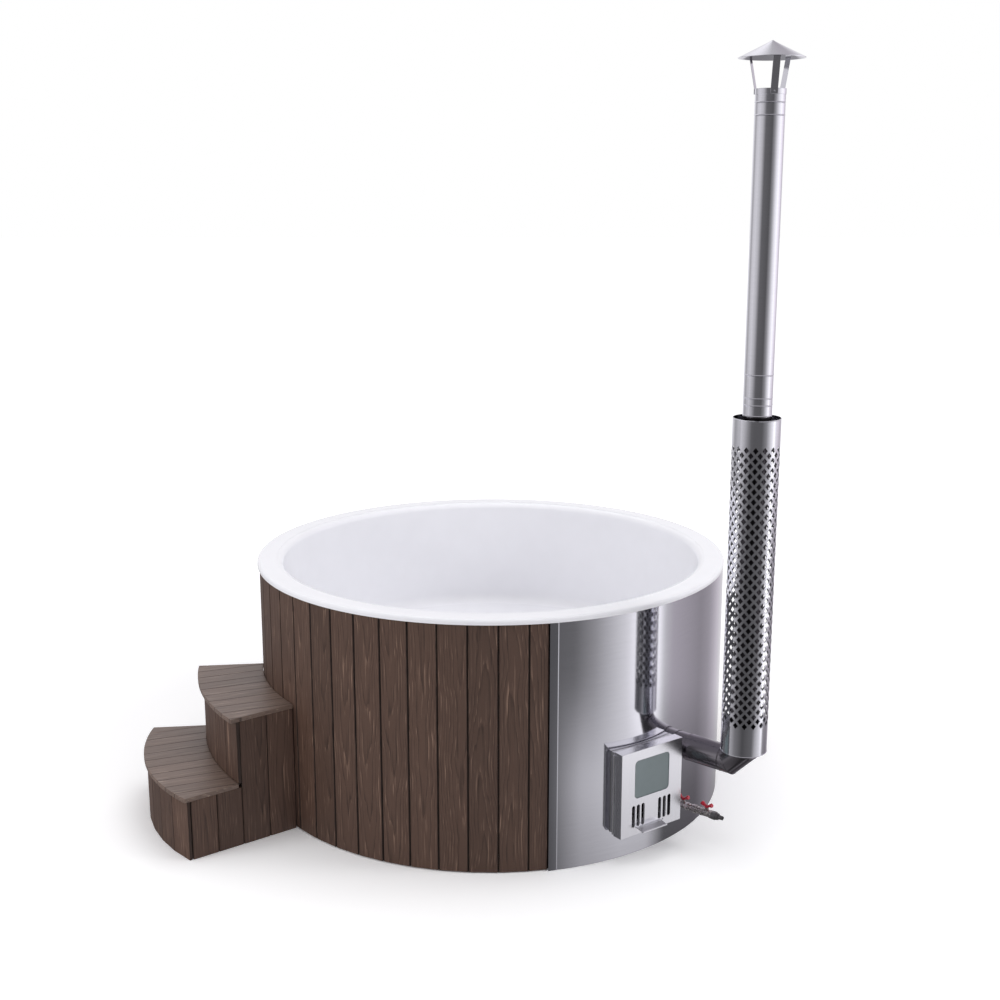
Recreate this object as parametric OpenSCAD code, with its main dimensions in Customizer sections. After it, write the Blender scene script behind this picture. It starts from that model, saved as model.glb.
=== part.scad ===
// Round wood-clad hot tub with a built-in wood stove, a side chimney behind a perforated
// guard, a drain line with two ball valves, and a two-step stair that stands beside it.
// Lengths are in millimetres. Z is the tub's axis, z = 0 is the ground, azimuth 0 is +X.

/* [Tub] */
// Distance from the tub's axis to the faces of the cladding boards
tub_r = 999; // [900:1:1100]
// Height of the cladding's top edge above the ground
tub_h = 1000; // [900:1:1150]
// Gap between the ground and the cladding boards
clad_lift = 5; // [1:1:15]
// Width of one cladding board, aimed for
board_w = 115; // [90:1:145]
// Thickness of the cladding boards
board_t = 20; // [15:1:28]
// Depth of the bevel on each long edge of a board
board_bevel = 4.5; // [2:0.5:6]
// Gap left between two boards
board_gap = 0.6; // [0.3:0.1:2]
// Arc of the narrow ripped board beside the steel, in degrees
rip_arc = 4.4; // [2:0.1:6]

/* [Steel wall] */
// Outer radius of the stainless sheet
steel_r = 1006; // [1004:1:1012]
// Thickness of the sheet
steel_t = 1.5; // [1:0.5:2.5]
// Azimuth where the sheet starts, in degrees
steel_start_az = -77.4; // [-82:0.1:-72]
// Arc that the sheet covers, in degrees
steel_arc = 84.2; // [70:0.1:100]
// Width of the trim strip over each end of the sheet
trim_w = 35; // [25:1:45]

/* [Liner] */
// Outer radius of the rim
lip_r = 1008; // [1007:1:1020]
// Height of the rim's outer edge
lip_h = 22; // [18:1:32]
// Width of the rim, from its outer edge to the basin
rim_w = 110; // [80:1:125]
// Wall of the moulded liner
liner_t = 6; // [4:0.5:8]
// Height of the seat
seat_z = 520; // [500:1:580]
// Radius of the footwell
footwell_r = 560; // [500:1:575]
// Height of the footwell's floor
floor_z = 176; // [172:1:200]

/* [Stove] */
// Azimuth that the stove door faces, in degrees
door_az = -54; // [-58:0.5:-52]
// Distance from the tub's axis to the front of the door
door_front = 1064.8; // [1060:0.1:1075]
// Width of the door
door_w = 313; // [300:1:318]
// Height of the door
door_h = 347; // [345:1:365]
// Height of the door's lower edge above the ground
door_z = 114.5; // [110:0.5:118]
// Width of the window
window_w = 178; // [150:1:190]
// Height of the window
window_h = 156; // [120:1:160]
// Width of one air slot
slot_w = 16; // [12:0.5:18]
// Height of the air slots
slot_h = 90; // [70:1:92]
// Spacing of the air slots in a group
slot_pitch = 24.5; // [22:0.5:26]
// Width of the lip that works the air slide
lip_handle_w = 126; // [90:1:140]
// Reach of the lip in front of the door
lip_reach = 39; // [25:1:50]
// Half the width of the stove's water jacket
stove_half_w = 134; // [125:1:136]

/* [Chimney] */
// Azimuth of the flue and the drain line, in degrees
service_az = -42; // [-42:0.5:-38]
// Distance from the tub's axis to the chimney
chimney_r = 1310; // [1270:1:1400]
// Height of the horizontal flue
flue_z = 397; // [380:1:400]
// Outer diameter of the chimney pipe
pipe_d = 106.5; // [96:0.5:107]
// Height of the pipe's top end
pipe_top_z = 2906; // [2300:1:3200]
// Height of the joint between the two chimney pipes
joint_z = 1758; // [1400:1:2000]
// Outer diameter of the perforated guard
guard_d = 178; // [160:1:200]
// Height of the guard's lower edge
guard_z = 456; // [456:1:520]
// Length of the guard
guard_h = 1296; // [900:1:1300]
// Solid band at the guard's lower end
guard_foot = 116; // [80:1:150]
// Solid band at the guard's upper end
guard_head = 98; // [80:1:150]
// Diamond holes around the guard
guard_around = 12; // [8:1:16]
// Spacing of the diamond holes along the guard
guard_pitch = 80; // [60:0.5:120]
// Width of one diamond hole
diamond_w = 19.6; // [14:0.1:21]
// Height of one diamond hole
diamond_h = 23.6; // [16:0.1:25]
// Diameter of the rain cap
cap_d = 234; // [180:1:280]
// Height of the rain cap's cone
cap_h = 59; // [40:1:80]
// Gap between the pipe's top end and the cap's rim
cap_gap = 102; // [70:1:140]

/* [Drain line] */
// Height of the drain line
drain_z = 141; // [138:1:143]
// Outer diameter of the drain pipe
drain_d = 26.9; // [21:0.1:28]
// Distance from the tub's axis to the first valve's stem
valve_1_r = 1042; // [1040:1:1050]
// Length of a valve body
valve_len = 52; // [46:1:56]
// Length of the union between the valves
union_len = 60; // [45:1:80]
// Length of a butterfly handle
handle_len = 48; // [40:1:50]

/* [Stair] */
// Azimuth of the stair's middle, in degrees
stair_az = -158.3; // [-175:0.1:-110]
// Half of the sector that the stair fills, in degrees
stair_half = 15.4; // [12:0.1:20]
// Distance from the tub's axis to the middle of the lower tread's front edge
low_front = 1522; // [1450:1:1650]
// Distance from the tub's axis to the lower tread's front corners
low_corner = 1486; // [1440:1:1650]
// Distance from the tub's axis to the upper tread's front edge
up_front = 1278; // [1230:1:1340]
// Height of the lower tread's top
low_z = 263; // [200:1:300]
// Height of the upper tread's top
up_z = 539; // [460:1:620]
// Thickness of the riser boards
riser_t = 13; // [10:1:18]
// Thickness of the tread boards
tread_t = 18; // [15:1:30]
// Width of one tread board
tread_w = 73; // [60:1:120]
// Overhang of the lower tread beyond its riser boards
low_nosing = 12; // [4:1:25]
// Overhang of the upper tread beyond its riser boards
up_nosing = 24; // [10:1:30]

/* [Hidden] */

// Shared values
// How far a cutting shape runs past what it cuts
cut_over = 1;
// Gap between neighbours that rest against each other on a curve
seat_gap = 0.3;
// Radial clearance of a turning pin in its bore
run_gap = 0.05;
// Thickness of folded stainless sheet
sheet_t = 1.5;
// Facets of a large and of a small round
big_fn = 180;
mid_fn = 72;
small_fn = 36;
wood = "#5b4a42";
steel = "#c9cbd2";
white = "#f4f4f8";
black = "#2b2b2e";
red = "#b3122e";

// Radii that follow the tub's and the sheet's radius. The sizes above are for a tub and a
// sheet of the usual radius, and what stands on either keeps its distance from it.
usual_tub_r = 999;
usual_steel_r = 1006;
tub_growth = tub_r - usual_tub_r;
sheet_growth = tub_growth + steel_r - usual_steel_r;
sheet_r = steel_r + tub_growth;
rim_r = lip_r + tub_growth;
door_face = door_front + sheet_growth;
chimney_axis_r = chimney_r + sheet_growth;
first_valve_r = valve_1_r + sheet_growth;
low_edge_r = low_front + tub_growth;
low_corner_r = low_corner + tub_growth;
up_edge_r = up_front + tub_growth;

// Frame of the tub
joist_h = 70;
joist_w = 95;
joist_count = 5;
deck_t = 18;
deck_z = joist_h;
deck_r = tub_r - board_t - seat_gap;
hoop_h = 32;
hoop_w = 48;
hoop_r = tub_r - board_t - seat_gap;
bottom_hoop_z = deck_z + deck_t;
middle_hoop_z = seat_z + 10 * seat_gap;
top_hoop_z = tub_h - hoop_h;
post_w = 45;
post_d = 38;
post_step = 30;
post_count = 11;
bearer_w = 45;
bearer_offsets = [-330, -140, 140, 330];
ring_inner_gap = 8;

// Boards of the cladding
wood_arc = 360 - steel_arc - rip_arc;
board_count = round(wood_arc * PI / 180 * tub_r / board_w);
board_step = wood_arc / board_count;
clad_top_gap = 0.5;
clad_h = tub_h - clad_lift - clad_top_gap;

// Steel side of the tub
steel_lift = 1;
board_gap_deg = 0.1;
trim_t = 1.5;
trim_deg = trim_w / sheet_r * 180 / PI;
trim_leg_deg = trim_t / sheet_r * 180 / PI;
fire_board_deg = 2 * trim_leg_deg;
opening_gap = 1.5;

// Rounds of the liner
lip_round = 12;
roll_round = 14;
seat_round = 45;
nose_round = 35;
floor_round = 60;
wall_lean = 28;
basin_r = rim_r - rim_w;
rim_top = tub_h + lip_h;
wall_foot_r = basin_r - wall_lean;

// Stove behind the door, in its own frame: x is outward, y is to the right
frame_out = 12;
frame_depth = 33;
stove_len = 265;
frame_z = 121.5;
stove_lift = 6.5;
stove_z = frame_z + stove_lift;
frame_front = sheet_r + frame_out;
stove_front = frame_front - frame_depth;
stove_back = stove_front - stove_len;
stove_h = 322;
plate_t = 4;
water_t = 18;
fire_half_w = stove_half_w - water_t - 2 * plate_t;
mouth_half_w = fire_half_w;
mouth_z = stove_z + water_t + plate_t;
mouth_top = stove_z + stove_h - water_t - plate_t;
grate_t = 14;
grate_z = mouth_z + 26;
grate_bar = 12;
grate_slot = 10;
ledge_w = 12;
pipe_hole_r = 21;
circ_low_z = 275;
circ_high_z = 400;
circ_flange_r = 38;
circ_flange_t = 8;
circ_bore_r = 17;

// Door frame and door
frame_half_w = 152;
frame_top = 457;
frame_t = 3;
frame_side_t = 2;
pan_gap = 3.5;
pan_back = frame_front + pan_gap;
front_t = 3;
front_back = door_face - front_t;
rim_half_w = mouth_half_w + 2;
gasket_w = 12;
gasket_inner = mouth_half_w + 4;
window_z = 265;
window_round = 17;
glass_t = 4;
glass_over = 10;
retainer_over = 24;
retainer_side = 22;
screw_r = 2.5;
nut_r = 4.5;
nut_t = 3;
slots_z = 148;
slots_mid = 68.3;
slide_t = 2;
slide_slot_w = 12;
slide_travel = slot_pitch / 2;
slide_half_w = 106;
slide_top = slots_z + slot_h + 6;
lip_z = 140.5;
lip_bend_x = 7;
lip_drop = 7;
lip_return = 4;
travel_gap = 1;
guide_w = 6;
guide_t = 2.5;
barrel_r = 4;
hinge_pin_r = 2;
hinge_z = 124;
hinge_h = 327;
knuckles = 5;
knuckle_gap = 0.5;
leaf_t = 1.2;
leaf_w = 20;
hinge_y = -door_w / 2 - barrel_r - seat_gap;
hinge_x = frame_front + barrel_r + 4 * run_gap;

// Flue and chimney
pipe_r = pipe_d / 2;
stub_r = pipe_r - 2.25;
stub_inner_len = 81;
stub_outer_len = 58;
stub_in = sheet_r - stub_inner_len;
sleeve_start = sheet_r + stub_outer_len;
elbow_len = 84;
elbow_start = chimney_axis_r - elbow_len;
elbow_cut = 57;
sleeve_lap = 0.6;
spigot_in = 25;
spigot_gap = 0.3;
elbow_top = 520;
lower_pipe_r = pipe_r - sheet_t - spigot_gap;
joint_lap = 60;
stop_bead = 1.8;
bead_r = 1.1;
bead_heights = [43, 69, 153];
top_bead_drops = [20, 46, 89];
band_drop = 20;
band_t = 1.25;
guard_r = guard_d / 2;
guard_t = 1.5;
guard_rows = floor((guard_h - guard_foot - guard_head) / guard_pitch);
guard_first_z = guard_z + guard_foot + diamond_h / 2 + sheet_t;
spider_h = 20;
spider_drop = 45;
spider_arm_w = 18;
leg_count = 3;
leg_first_az = -166;
leg_w = 26;
leg_t = 1.5;
leg_flare = 20;
leg_lap = 17;
rivet_r = 3;
rivet_h = 1.6;
cap_rim_h = 6;
smoke_w = 150;
smoke_len = 110;
smoke_inset = 55;
smoke_front = stove_front - smoke_inset;
smoke_back = smoke_front - smoke_len;
smoke_h = 112;

// Drain line, in its own frame: x is outward along the line
drain_r = drain_d / 2;
drain_bore_r = 10.5;
floor_drain_r = 250;
drain_tail_r = 20;
drain_cap_r = 42;
drain_cap_t = 3;
valve_r = 15;
valve_neck_r = 8;
valve_neck_h = 24;
ball_r = 12.5;
ball_gap = 0.3;
valve_bore_r = 8;
stem_r = 3.5;
hub_z = 29;
hub_r = 8;
hub_h = 9;
wing_w = 11;
wing_rise = 14;
wing_t = 4;
valve_1_end = first_valve_r + valve_len / 2;
union_end = valve_1_end + union_len;
valve_2_r = union_end + valve_len / 2;
valve_2_end = valve_2_r + valve_len / 2;
union_r = 14.5;
union_nut_r = 17.5;
union_nut_len = 20;
reducer_len = 30;
reducer_r = 17;
nozzle_len = 20;
nozzle_r = 8.5;
nozzle_bore_r = 5.5;
nozzle_groove = 0.8;
hex_fn = 6;

// Stair, in its own frame: x is outward from the tub's axis
stair_board_t = 18;
stair_inner = tub_r / cos(board_step / 2) + seat_gap;
stair_gap = 1;
low_half = low_corner_r * sin(stair_half);
low_sag = low_edge_r - low_corner_r * cos(stair_half);
low_round = (low_half * low_half + low_sag * low_sag) / (2 * low_sag);
up_half = up_edge_r * sin(stair_half);
bearer_h = 45;
bearer_t = 30;
stair_post_w = 45;

// Points on an arc from angle a0 to angle a1
function arc(cx, cy, r, a0, a1, steps = 6) =
    [for (i = [0 : steps]) let (a = a0 + (a1 - a0) * i / steps) [cx + r * cos(a), cy + r * sin(a)]];

// Half the width of a board's side at distance x from the axis
function board_half(x, step) = x * tan(step / 2) - board_gap / 2;

module at_door() { rotate([0, 0, door_az]) children(); }
module at_service() { rotate([0, 0, service_az]) children(); }
module at_stair() { rotate([0, 0, stair_az]) children(); }

// A box from its low corner to its high corner
module block(low, high) { translate(low) cube(high - low); }

// A box in the stove's frame: from x0 to x1, half width w, from z0 to z1
module stove_block(x0, x1, w, z0, z1) { block([x0, -w, z0], [x1, w, z1]); }

// A round bar along x, from x0 to x1
module bar_x(x0, x1, r, z = 0, fn = small_fn) {
    translate([x0, 0, z]) rotate([0, 90, 0]) cylinder(h = x1 - x0, r = r, $fn = fn);
}

// A rectangle with round corners, centred on y, standing on z0, in the y-z plane
module round_window(w, h, r) {
    for (y = [-1, 1], z = [0, 1])
        translate([y * (w / 2 - r), r + z * (h - 2 * r)]) circle(r = r, $fn = small_fn);
    translate([-w / 2, r]) square([w, h - 2 * r]);
    translate([-w / 2 + r, 0]) square([w - 2 * r, h]);
}

// Turns a flat shape drawn in (y, z) into a plate from x0 to x1
module plate_x(x0, x1) {
    translate([x0, 0, 0]) rotate([90, 0, 90]) linear_extrude(x1 - x0) children();
}

// Turns a flat shape drawn in (x, z) into a bar from y0 to y1
module bar_y(y0, y1) {
    translate([0, y1, 0]) rotate([90, 0, 0]) linear_extrude(y1 - y0) children();
}

// Tub

module liner_profile() {
    t = liner_t;
    polygon(concat(
        [[rim_r - t, tub_h], [rim_r, tub_h]],
        arc(rim_r - lip_round, rim_top - lip_round, lip_round, 0, 90),
        arc(basin_r + roll_round, rim_top - roll_round, roll_round, 90, 180),
        arc(wall_foot_r - seat_round, seat_z + seat_round, seat_round, 0, -90),
        arc(footwell_r + nose_round, seat_z - nose_round, nose_round, 90, 180),
        arc(footwell_r - floor_round, floor_z + floor_round, floor_round, 0, -90),
        [[0, floor_z], [0, floor_z - t]],
        arc(footwell_r - floor_round, floor_z + floor_round, floor_round + t, -90, 0),
        arc(footwell_r + nose_round, seat_z - nose_round, nose_round - t, 180, 90),
        arc(wall_foot_r - seat_round, seat_z + seat_round, seat_round + t, -90, 0),
        arc(basin_r + roll_round, rim_top - roll_round, roll_round - t, 180, 90),
        arc(rim_r - lip_round, rim_top - lip_round, lip_round - t, 90, 0)));
}

module liner() {
    color(white) difference() {
        rotate_extrude($fn = big_fn) liner_profile();
        at_service() translate([floor_drain_r, 0, floor_z - liner_t - cut_over])
            cylinder(h = liner_t + 2 * cut_over, r = drain_tail_r + seat_gap, $fn = small_fn);
        at_door() for (z = [circ_low_z, circ_high_z])
            bar_x(footwell_r - floor_round, footwell_r + floor_round, pipe_hole_r + seat_gap, z);
    }
}

module ring(r_out, r_in, z, h) {
    translate([0, 0, z]) rotate_extrude($fn = big_fn) translate([r_in, 0]) square([r_out - r_in, h]);
}

module rim_ring() {
    color(wood) ring(tub_r - liner_t, basin_r + liner_t + ring_inner_gap, tub_h,
        lip_h - liner_t - seat_gap);
}

module top_hoop() { color(wood) ring(hoop_r, hoop_r - hoop_w, top_hoop_z, hoop_h); }
module middle_hoop() { color(wood) ring(hoop_r, hoop_r - hoop_w, middle_hoop_z, hoop_h); }
module bottom_hoop() { color(wood) ring(hoop_r, hoop_r - hoop_w, bottom_hoop_z, hoop_h); }

module frame_posts() {
    tiers = [[bottom_hoop_z + hoop_h, middle_hoop_z], [middle_hoop_z + hoop_h, top_hoop_z]];
    color(wood) for (i = [1 : post_count], tier = tiers)
        rotate([0, 0, door_az + i * post_step])
            block([hoop_r - seat_gap - post_d, -post_w / 2, tier[0]],
                [hoop_r - seat_gap, post_w / 2, tier[1]]);
}

// One board with bevelled long edges, seen from above and raised to full height
module board(step) {
    r_in = tub_r - board_t;
    r_side = tub_r - board_bevel;
    face = board_half(tub_r, step) - board_bevel;
    linear_extrude(clad_h) polygon([
        [r_in, -board_half(r_in, step)], [r_side, -board_half(r_side, step)], [tub_r, -face],
        [tub_r, face], [r_side, board_half(r_side, step)], [r_in, board_half(r_in, step)]]);
}

module cladding_boards() {
    color(wood) translate([0, 0, clad_lift]) {
        rotate([0, 0, steel_start_az - rip_arc / 2]) board(rip_arc);
        for (i = [0 : board_count - 1])
            rotate([0, 0, steel_start_az - rip_arc - (i + 0.5) * board_step]) board(board_step);
    }
}

module floor_joists() {
    spread = 2 * (deck_r - 2 * joist_w) / (joist_count - 1);
    color(wood) intersection() {
        cylinder(h = joist_h, r = deck_r - joist_w / 2, $fn = big_fn);
        at_service() for (i = [0 : joist_count - 1]) let (y = (i - (joist_count - 1) / 2) * spread)
            block([-tub_r, y - joist_w / 2, 0], [tub_r, y + joist_w / 2, joist_h]);
    }
}

module floor_deck() {
    color(wood) translate([0, 0, deck_z]) cylinder(h = deck_t, r = deck_r, $fn = big_fn);
}

module floor_bearers() {
    reach = footwell_r - floor_round - bearer_w;
    color(wood) intersection() {
        cylinder(h = floor_z - liner_t, r = reach, $fn = big_fn);
        at_service() for (y = bearer_offsets)
            block([-tub_r, y - bearer_w / 2, deck_z + deck_t],
                [tub_r, y + bearer_w / 2, floor_z - liner_t]);
    }
}

// A curved wall from radius r_in to r_out over the steel's arc, drawn in at each end
module steel_sector(r_in, r_out, z, h, draw_in) {
    rotate([0, 0, steel_start_az + draw_in]) translate([0, 0, z])
        rotate_extrude(angle = steel_arc - 2 * draw_in, $fn = big_fn)
            translate([r_in, 0]) square([r_out - r_in, h]);
}

module wall_openings() {
    at_door() stove_block(stove_front - 2 * board_t, door_face, frame_half_w + opening_gap,
        frame_z - opening_gap, frame_top + opening_gap);
    at_service() {
        bar_x(hoop_r - cut_over, door_face, stub_r + opening_gap, flue_z, mid_fn);
        bar_x(hoop_r - cut_over, door_face, drain_r + opening_gap, drain_z);
    }
}

module steel_wall() {
    color(steel) difference() {
        steel_sector(sheet_r - steel_t, sheet_r, steel_lift, tub_h - steel_lift - clad_top_gap,
            trim_leg_deg + board_gap_deg);
        wall_openings();
    }
}

module fire_board() {
    color("#d9d6cc") difference() {
        steel_sector(hoop_r + seat_gap, sheet_r - steel_t - seat_gap, clad_lift, clad_h,
            fire_board_deg + board_gap_deg);
        wall_openings();
    }
}

// Angle strip: a face over the sheet's end and a leg that turns in beside the boards
module wall_trim(mirrored) {
    at = mirrored ? steel_start_az + steel_arc : steel_start_az;
    translate([0, 0, steel_lift]) rotate([0, 0, at]) mirror([0, mirrored ? 1 : 0, 0]) {
        rotate_extrude(angle = trim_deg, $fn = big_fn)
            translate([sheet_r, 0]) square([trim_t, tub_h - steel_lift - clad_top_gap]);
        rotate_extrude(angle = trim_leg_deg, $fn = big_fn)
            translate([tub_r - board_t + trim_t, 0])
                square([sheet_r + trim_t - tub_r + board_t - trim_t,
                    tub_h - steel_lift - clad_top_gap]);
    }
}

module wall_trims() { color(steel) { wall_trim(false); wall_trim(true); } }

// Stove

module stove_jacket() {
    inner = fire_half_w + plate_t;
    color(steel) at_door() difference() {
        stove_block(stove_back, stove_front, stove_half_w, stove_z, stove_z + stove_h);
        stove_block(stove_back + plate_t, stove_front - plate_t, stove_half_w - plate_t,
            stove_z + plate_t, stove_z + stove_h - plate_t);
        stove_block(stove_front - 2 * plate_t, stove_front + cut_over, inner, mouth_z - plate_t,
            mouth_top + plate_t);
        for (z = [circ_low_z, circ_high_z])
            bar_x(stove_back - cut_over, stove_back + plate_t + cut_over, circ_bore_r, z);
        smoke_way(plate_t, stove_half_w - 2 * plate_t, stove_half_w + cut_over);
    }
}

// The duct that smoke takes from the firebox, through the water jacket, to the smoke box
module smoke_way(grow, from, to) {
    low = flue_z - smoke_h / 2 + 2 * plate_t;
    block([smoke_back + 2 * plate_t - grow, from, low - grow],
        [smoke_front - 2 * plate_t + grow, to, mouth_top - plate_t + grow]);
}

module firebox() {
    back = stove_back + water_t + plate_t;
    color(black) at_door() difference() {
        union() {
            stove_block(back, stove_front, fire_half_w + plate_t, mouth_z - plate_t,
                mouth_top + plate_t);
            smoke_way(plate_t, fire_half_w, stove_half_w);
        }
        stove_block(back + plate_t, stove_front + cut_over, fire_half_w, mouth_z, mouth_top);
        smoke_way(0, fire_half_w - plate_t, stove_half_w + cut_over);
    }
    color(black) at_door() for (side = [-1, 1])
        translate([0, side * (fire_half_w - ledge_w / 2), 0])
            block([back + plate_t, -ledge_w / 2, grate_z - plate_t],
                [stove_front - plate_t, ledge_w / 2, grate_z]);
}

module fire_grate() {
    back = stove_back + water_t + 3 * plate_t;
    front = stove_front - 3 * plate_t;
    half = fire_half_w - plate_t / 2;
    step = grate_bar + grate_slot;
    slots = floor((2 * half - 2 * grate_bar) / step);
    color(black) at_door() difference() {
        stove_block(back, front, half, grate_z, grate_z + grate_t);
        for (i = [0 : slots - 1]) let (y = (i - (slots - 1) / 2) * step)
            block([back + 2 * grate_bar, y - grate_slot / 2, grate_z - cut_over],
                [front - 2 * grate_bar, y + grate_slot / 2, grate_z + grate_t + cut_over]);
    }
}

module smoke_box() {
    low = flue_z - smoke_h / 2;
    color(steel) difference() {
        at_door() difference() {
            block([smoke_back, stove_half_w, low],
                [smoke_front, stove_half_w + smoke_w, low + smoke_h]);
            block([smoke_back + plate_t, stove_half_w - cut_over, low + plate_t],
                [smoke_front - plate_t, stove_half_w + smoke_w - plate_t,
                    low + smoke_h - plate_t]);
        }
        at_service() bar_x(stub_in - sheet_t, sheet_r, stub_r + seat_gap, flue_z, mid_fn);
    }
}

module circulation_pipes() {
    color(steel) at_door() for (z = [circ_low_z, circ_high_z]) difference() {
        bar_x(footwell_r - circ_flange_t, stove_back, pipe_hole_r, z);
        bar_x(footwell_r - circ_flange_t - cut_over, stove_back + cut_over, circ_bore_r, z);
    }
}

module circulation_flanges() {
    face = sqrt(footwell_r * footwell_r - circ_flange_r * circ_flange_r) - seat_gap;
    color(steel) at_door() for (z = [circ_low_z, circ_high_z]) difference() {
        bar_x(face - circ_flange_t, face, circ_flange_r, z);
        bar_x(face - circ_flange_t - cut_over, face + cut_over, pipe_hole_r + run_gap, z);
    }
}

module door_frame() {
    outer = frame_half_w;
    color(steel) at_door() difference() {
        stove_block(stove_front, frame_front, outer, frame_z, frame_top);
        stove_block(stove_front - cut_over, frame_front + cut_over, mouth_half_w, mouth_z,
            mouth_top);
        difference() {
            stove_block(stove_front - cut_over, frame_front - frame_t, outer - frame_side_t,
                frame_z + frame_side_t, frame_top - frame_side_t);
            stove_block(stove_front - 2 * cut_over, frame_front, mouth_half_w + frame_side_t,
                mouth_z - frame_side_t, mouth_top + frame_side_t);
        }
    }
}

// Height span of hinge knuckle i
function knuckle_z(i) = hinge_z + i * hinge_h / knuckles;
knuckle_h = hinge_h / knuckles - knuckle_gap;

// The knuckles and plate of one half of the hinge. The plate lies from low to high.
module hinge_leaf(mine, other, low, high) {
    difference() {
        union() {
            for (i = mine) translate([hinge_x, hinge_y, knuckle_z(i)])
                cylinder(h = knuckle_h, r = barrel_r, $fn = small_fn);
            block(low, high);
        }
        for (i = other) translate([hinge_x, hinge_y, knuckle_z(i) - knuckle_gap])
            cylinder(h = knuckle_h + 2 * knuckle_gap, r = barrel_r + knuckle_gap, $fn = small_fn);
        translate([hinge_x, hinge_y, hinge_z - cut_over])
            cylinder(h = hinge_h + 2 * cut_over, r = hinge_pin_r + run_gap, $fn = small_fn);
    }
}

module hinge_leaf_frame() {
    color(steel) at_door() hinge_leaf([0, 2, 4], [1, 3],
        [frame_front, hinge_y, hinge_z],
        [frame_front + leaf_t, hinge_y + leaf_w, hinge_z + hinge_h - knuckle_gap]);
}

module hinge_leaf_door() {
    color(steel) at_door() hinge_leaf([1, 3], [0, 2, 4],
        [hinge_x, -door_w / 2 - leaf_t, hinge_z],
        [hinge_x + leaf_w, -door_w / 2, hinge_z + hinge_h - knuckle_gap]);
}

module hinge_pin() {
    color(steel) at_door() translate([hinge_x, hinge_y, hinge_z - sheet_t])
        cylinder(h = hinge_h + 2 * sheet_t, r = hinge_pin_r, $fn = small_fn);
}

module door_pan() {
    half = door_w / 2;
    color(steel) at_door() difference() {
        stove_block(pan_back, front_back, half, door_z, door_z + door_h);
        stove_block(pan_back + sheet_t, front_back + cut_over, half - sheet_t, door_z + sheet_t,
            door_z + door_h - sheet_t);
        stove_block(pan_back - cut_over, front_back, rim_half_w, mouth_z, mouth_top);
    }
}

// The six air slots, each w wide, in two groups of three, drawn in (y, z)
module air_slots(w) {
    for (side = [-1, 1], i = [-1, 0, 1])
        translate([side * slots_mid + i * slot_pitch - w / 2, slots_z]) {
            translate([w / 2, w / 2]) circle(d = w, $fn = small_fn);
            translate([w / 2, slot_h - w / 2]) circle(d = w, $fn = small_fn);
            translate([0, w / 2]) square([w, slot_h - w]);
        }
}

module door_front() {
    travel = lip_handle_w / 2 + slide_travel / 2;
    color(steel) at_door() plate_x(front_back, door_face) difference() {
        translate([-door_w / 2, door_z]) square([door_w, door_h]);
        translate([0, window_z]) round_window(window_w, window_h, window_round);
        air_slots(slot_w);
        translate([-travel - travel_gap - slide_travel / 2, lip_z - travel_gap])
            square([2 * (travel + travel_gap), slide_t + 2 * travel_gap]);
    }
}

module door_gasket() {
    gap = gasket_inner - mouth_half_w;
    outer = gasket_inner + gasket_w;
    color("#d8d2c4") at_door() difference() {
        stove_block(frame_front + seat_gap, pan_back, outer, mouth_z - gap - gasket_w,
            mouth_top + gap + gasket_w);
        stove_block(frame_front, pan_back + cut_over, gasket_inner, mouth_z - gap,
            mouth_top + gap);
    }
}

glass_front = front_back - seat_gap;
glass_back = glass_front - glass_t;

module window_glass() {
    color("#727b7d") at_door() stove_block(glass_back, glass_front, window_w / 2 + glass_over,
        window_z - glass_over, window_z + window_h + glass_over);
}

// Places a child at the four screws of the glass retainer
module retainer_holes() {
    inset = window_w / 2 + (glass_over + retainer_over) / 2;
    for (y = [-inset, inset], z = [window_z, window_z + window_h]) translate([0, y, z]) children();
}

module glass_retainer() {
    plate_front = glass_back - seat_gap;
    color(steel) at_door() difference() {
        stove_block(plate_front - sheet_t, plate_front, window_w / 2 + retainer_over,
            window_z - glass_over, window_z + window_h + glass_over);
        plate_x(plate_front - 2 * sheet_t, plate_front + cut_over)
            translate([0, window_z]) round_window(window_w, window_h, window_round);
        retainer_holes() bar_x(plate_front - 2 * sheet_t, plate_front + cut_over,
            screw_r + 2 * run_gap);
    }
}

module retainer_screws() {
    plate_back = glass_back - seat_gap - sheet_t;
    color(steel) at_door() retainer_holes() {
        bar_x(plate_back - nut_t, front_back, screw_r);
        bar_x(plate_back - nut_t, plate_back, nut_r, 0, hex_fn);
    }
}

slide_front = front_back - seat_gap;
slide_back = slide_front - slide_t;

module slide_guide(z0, z1, hook0, hook1) {
    stove_block(slide_back - guide_t, front_back, slide_half_w + slide_travel, z0, z1);
    stove_block(slide_back - guide_t, slide_back - seat_gap, slide_half_w + slide_travel, hook0,
        hook1);
}

module slide_guides() {
    bottom = lip_z - seat_gap;
    top = slide_top + seat_gap;
    color(steel) at_door() {
        slide_guide(bottom - guide_w, bottom, bottom - guide_w, bottom + guide_w);
        slide_guide(top, top + guide_w, top - guide_w, top + guide_w);
    }
}

// The slide stands behind the slots. Its lower edge turns out through the door as a lip.
module air_slide() {
    x1 = slide_back;
    x2 = door_face + lip_bend_x;
    x3 = door_face + lip_reach;
    z0 = lip_z;
    z1 = lip_z + slide_t;
    color(steel) at_door() translate([0, -slide_travel, 0]) {
        plate_x(slide_back, slide_front) difference() {
            translate([-slide_half_w, z0]) square([2 * slide_half_w, slide_top - z0]);
            translate([slide_travel, 0]) air_slots(slide_slot_w);
        }
        bar_y(-lip_handle_w / 2, lip_handle_w / 2) polygon([
            [x1, z0], [x2, z0], [x3, z0 - lip_drop], [x3, z0 - lip_drop + slide_t + lip_return],
            [x3 - slide_t, z0 - lip_drop + slide_t + lip_return],
            [x3 - slide_t, z1 - lip_drop + slide_t / 4], [x2, z1], [x1, z1]]);
    }
}

// Chimney

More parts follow.
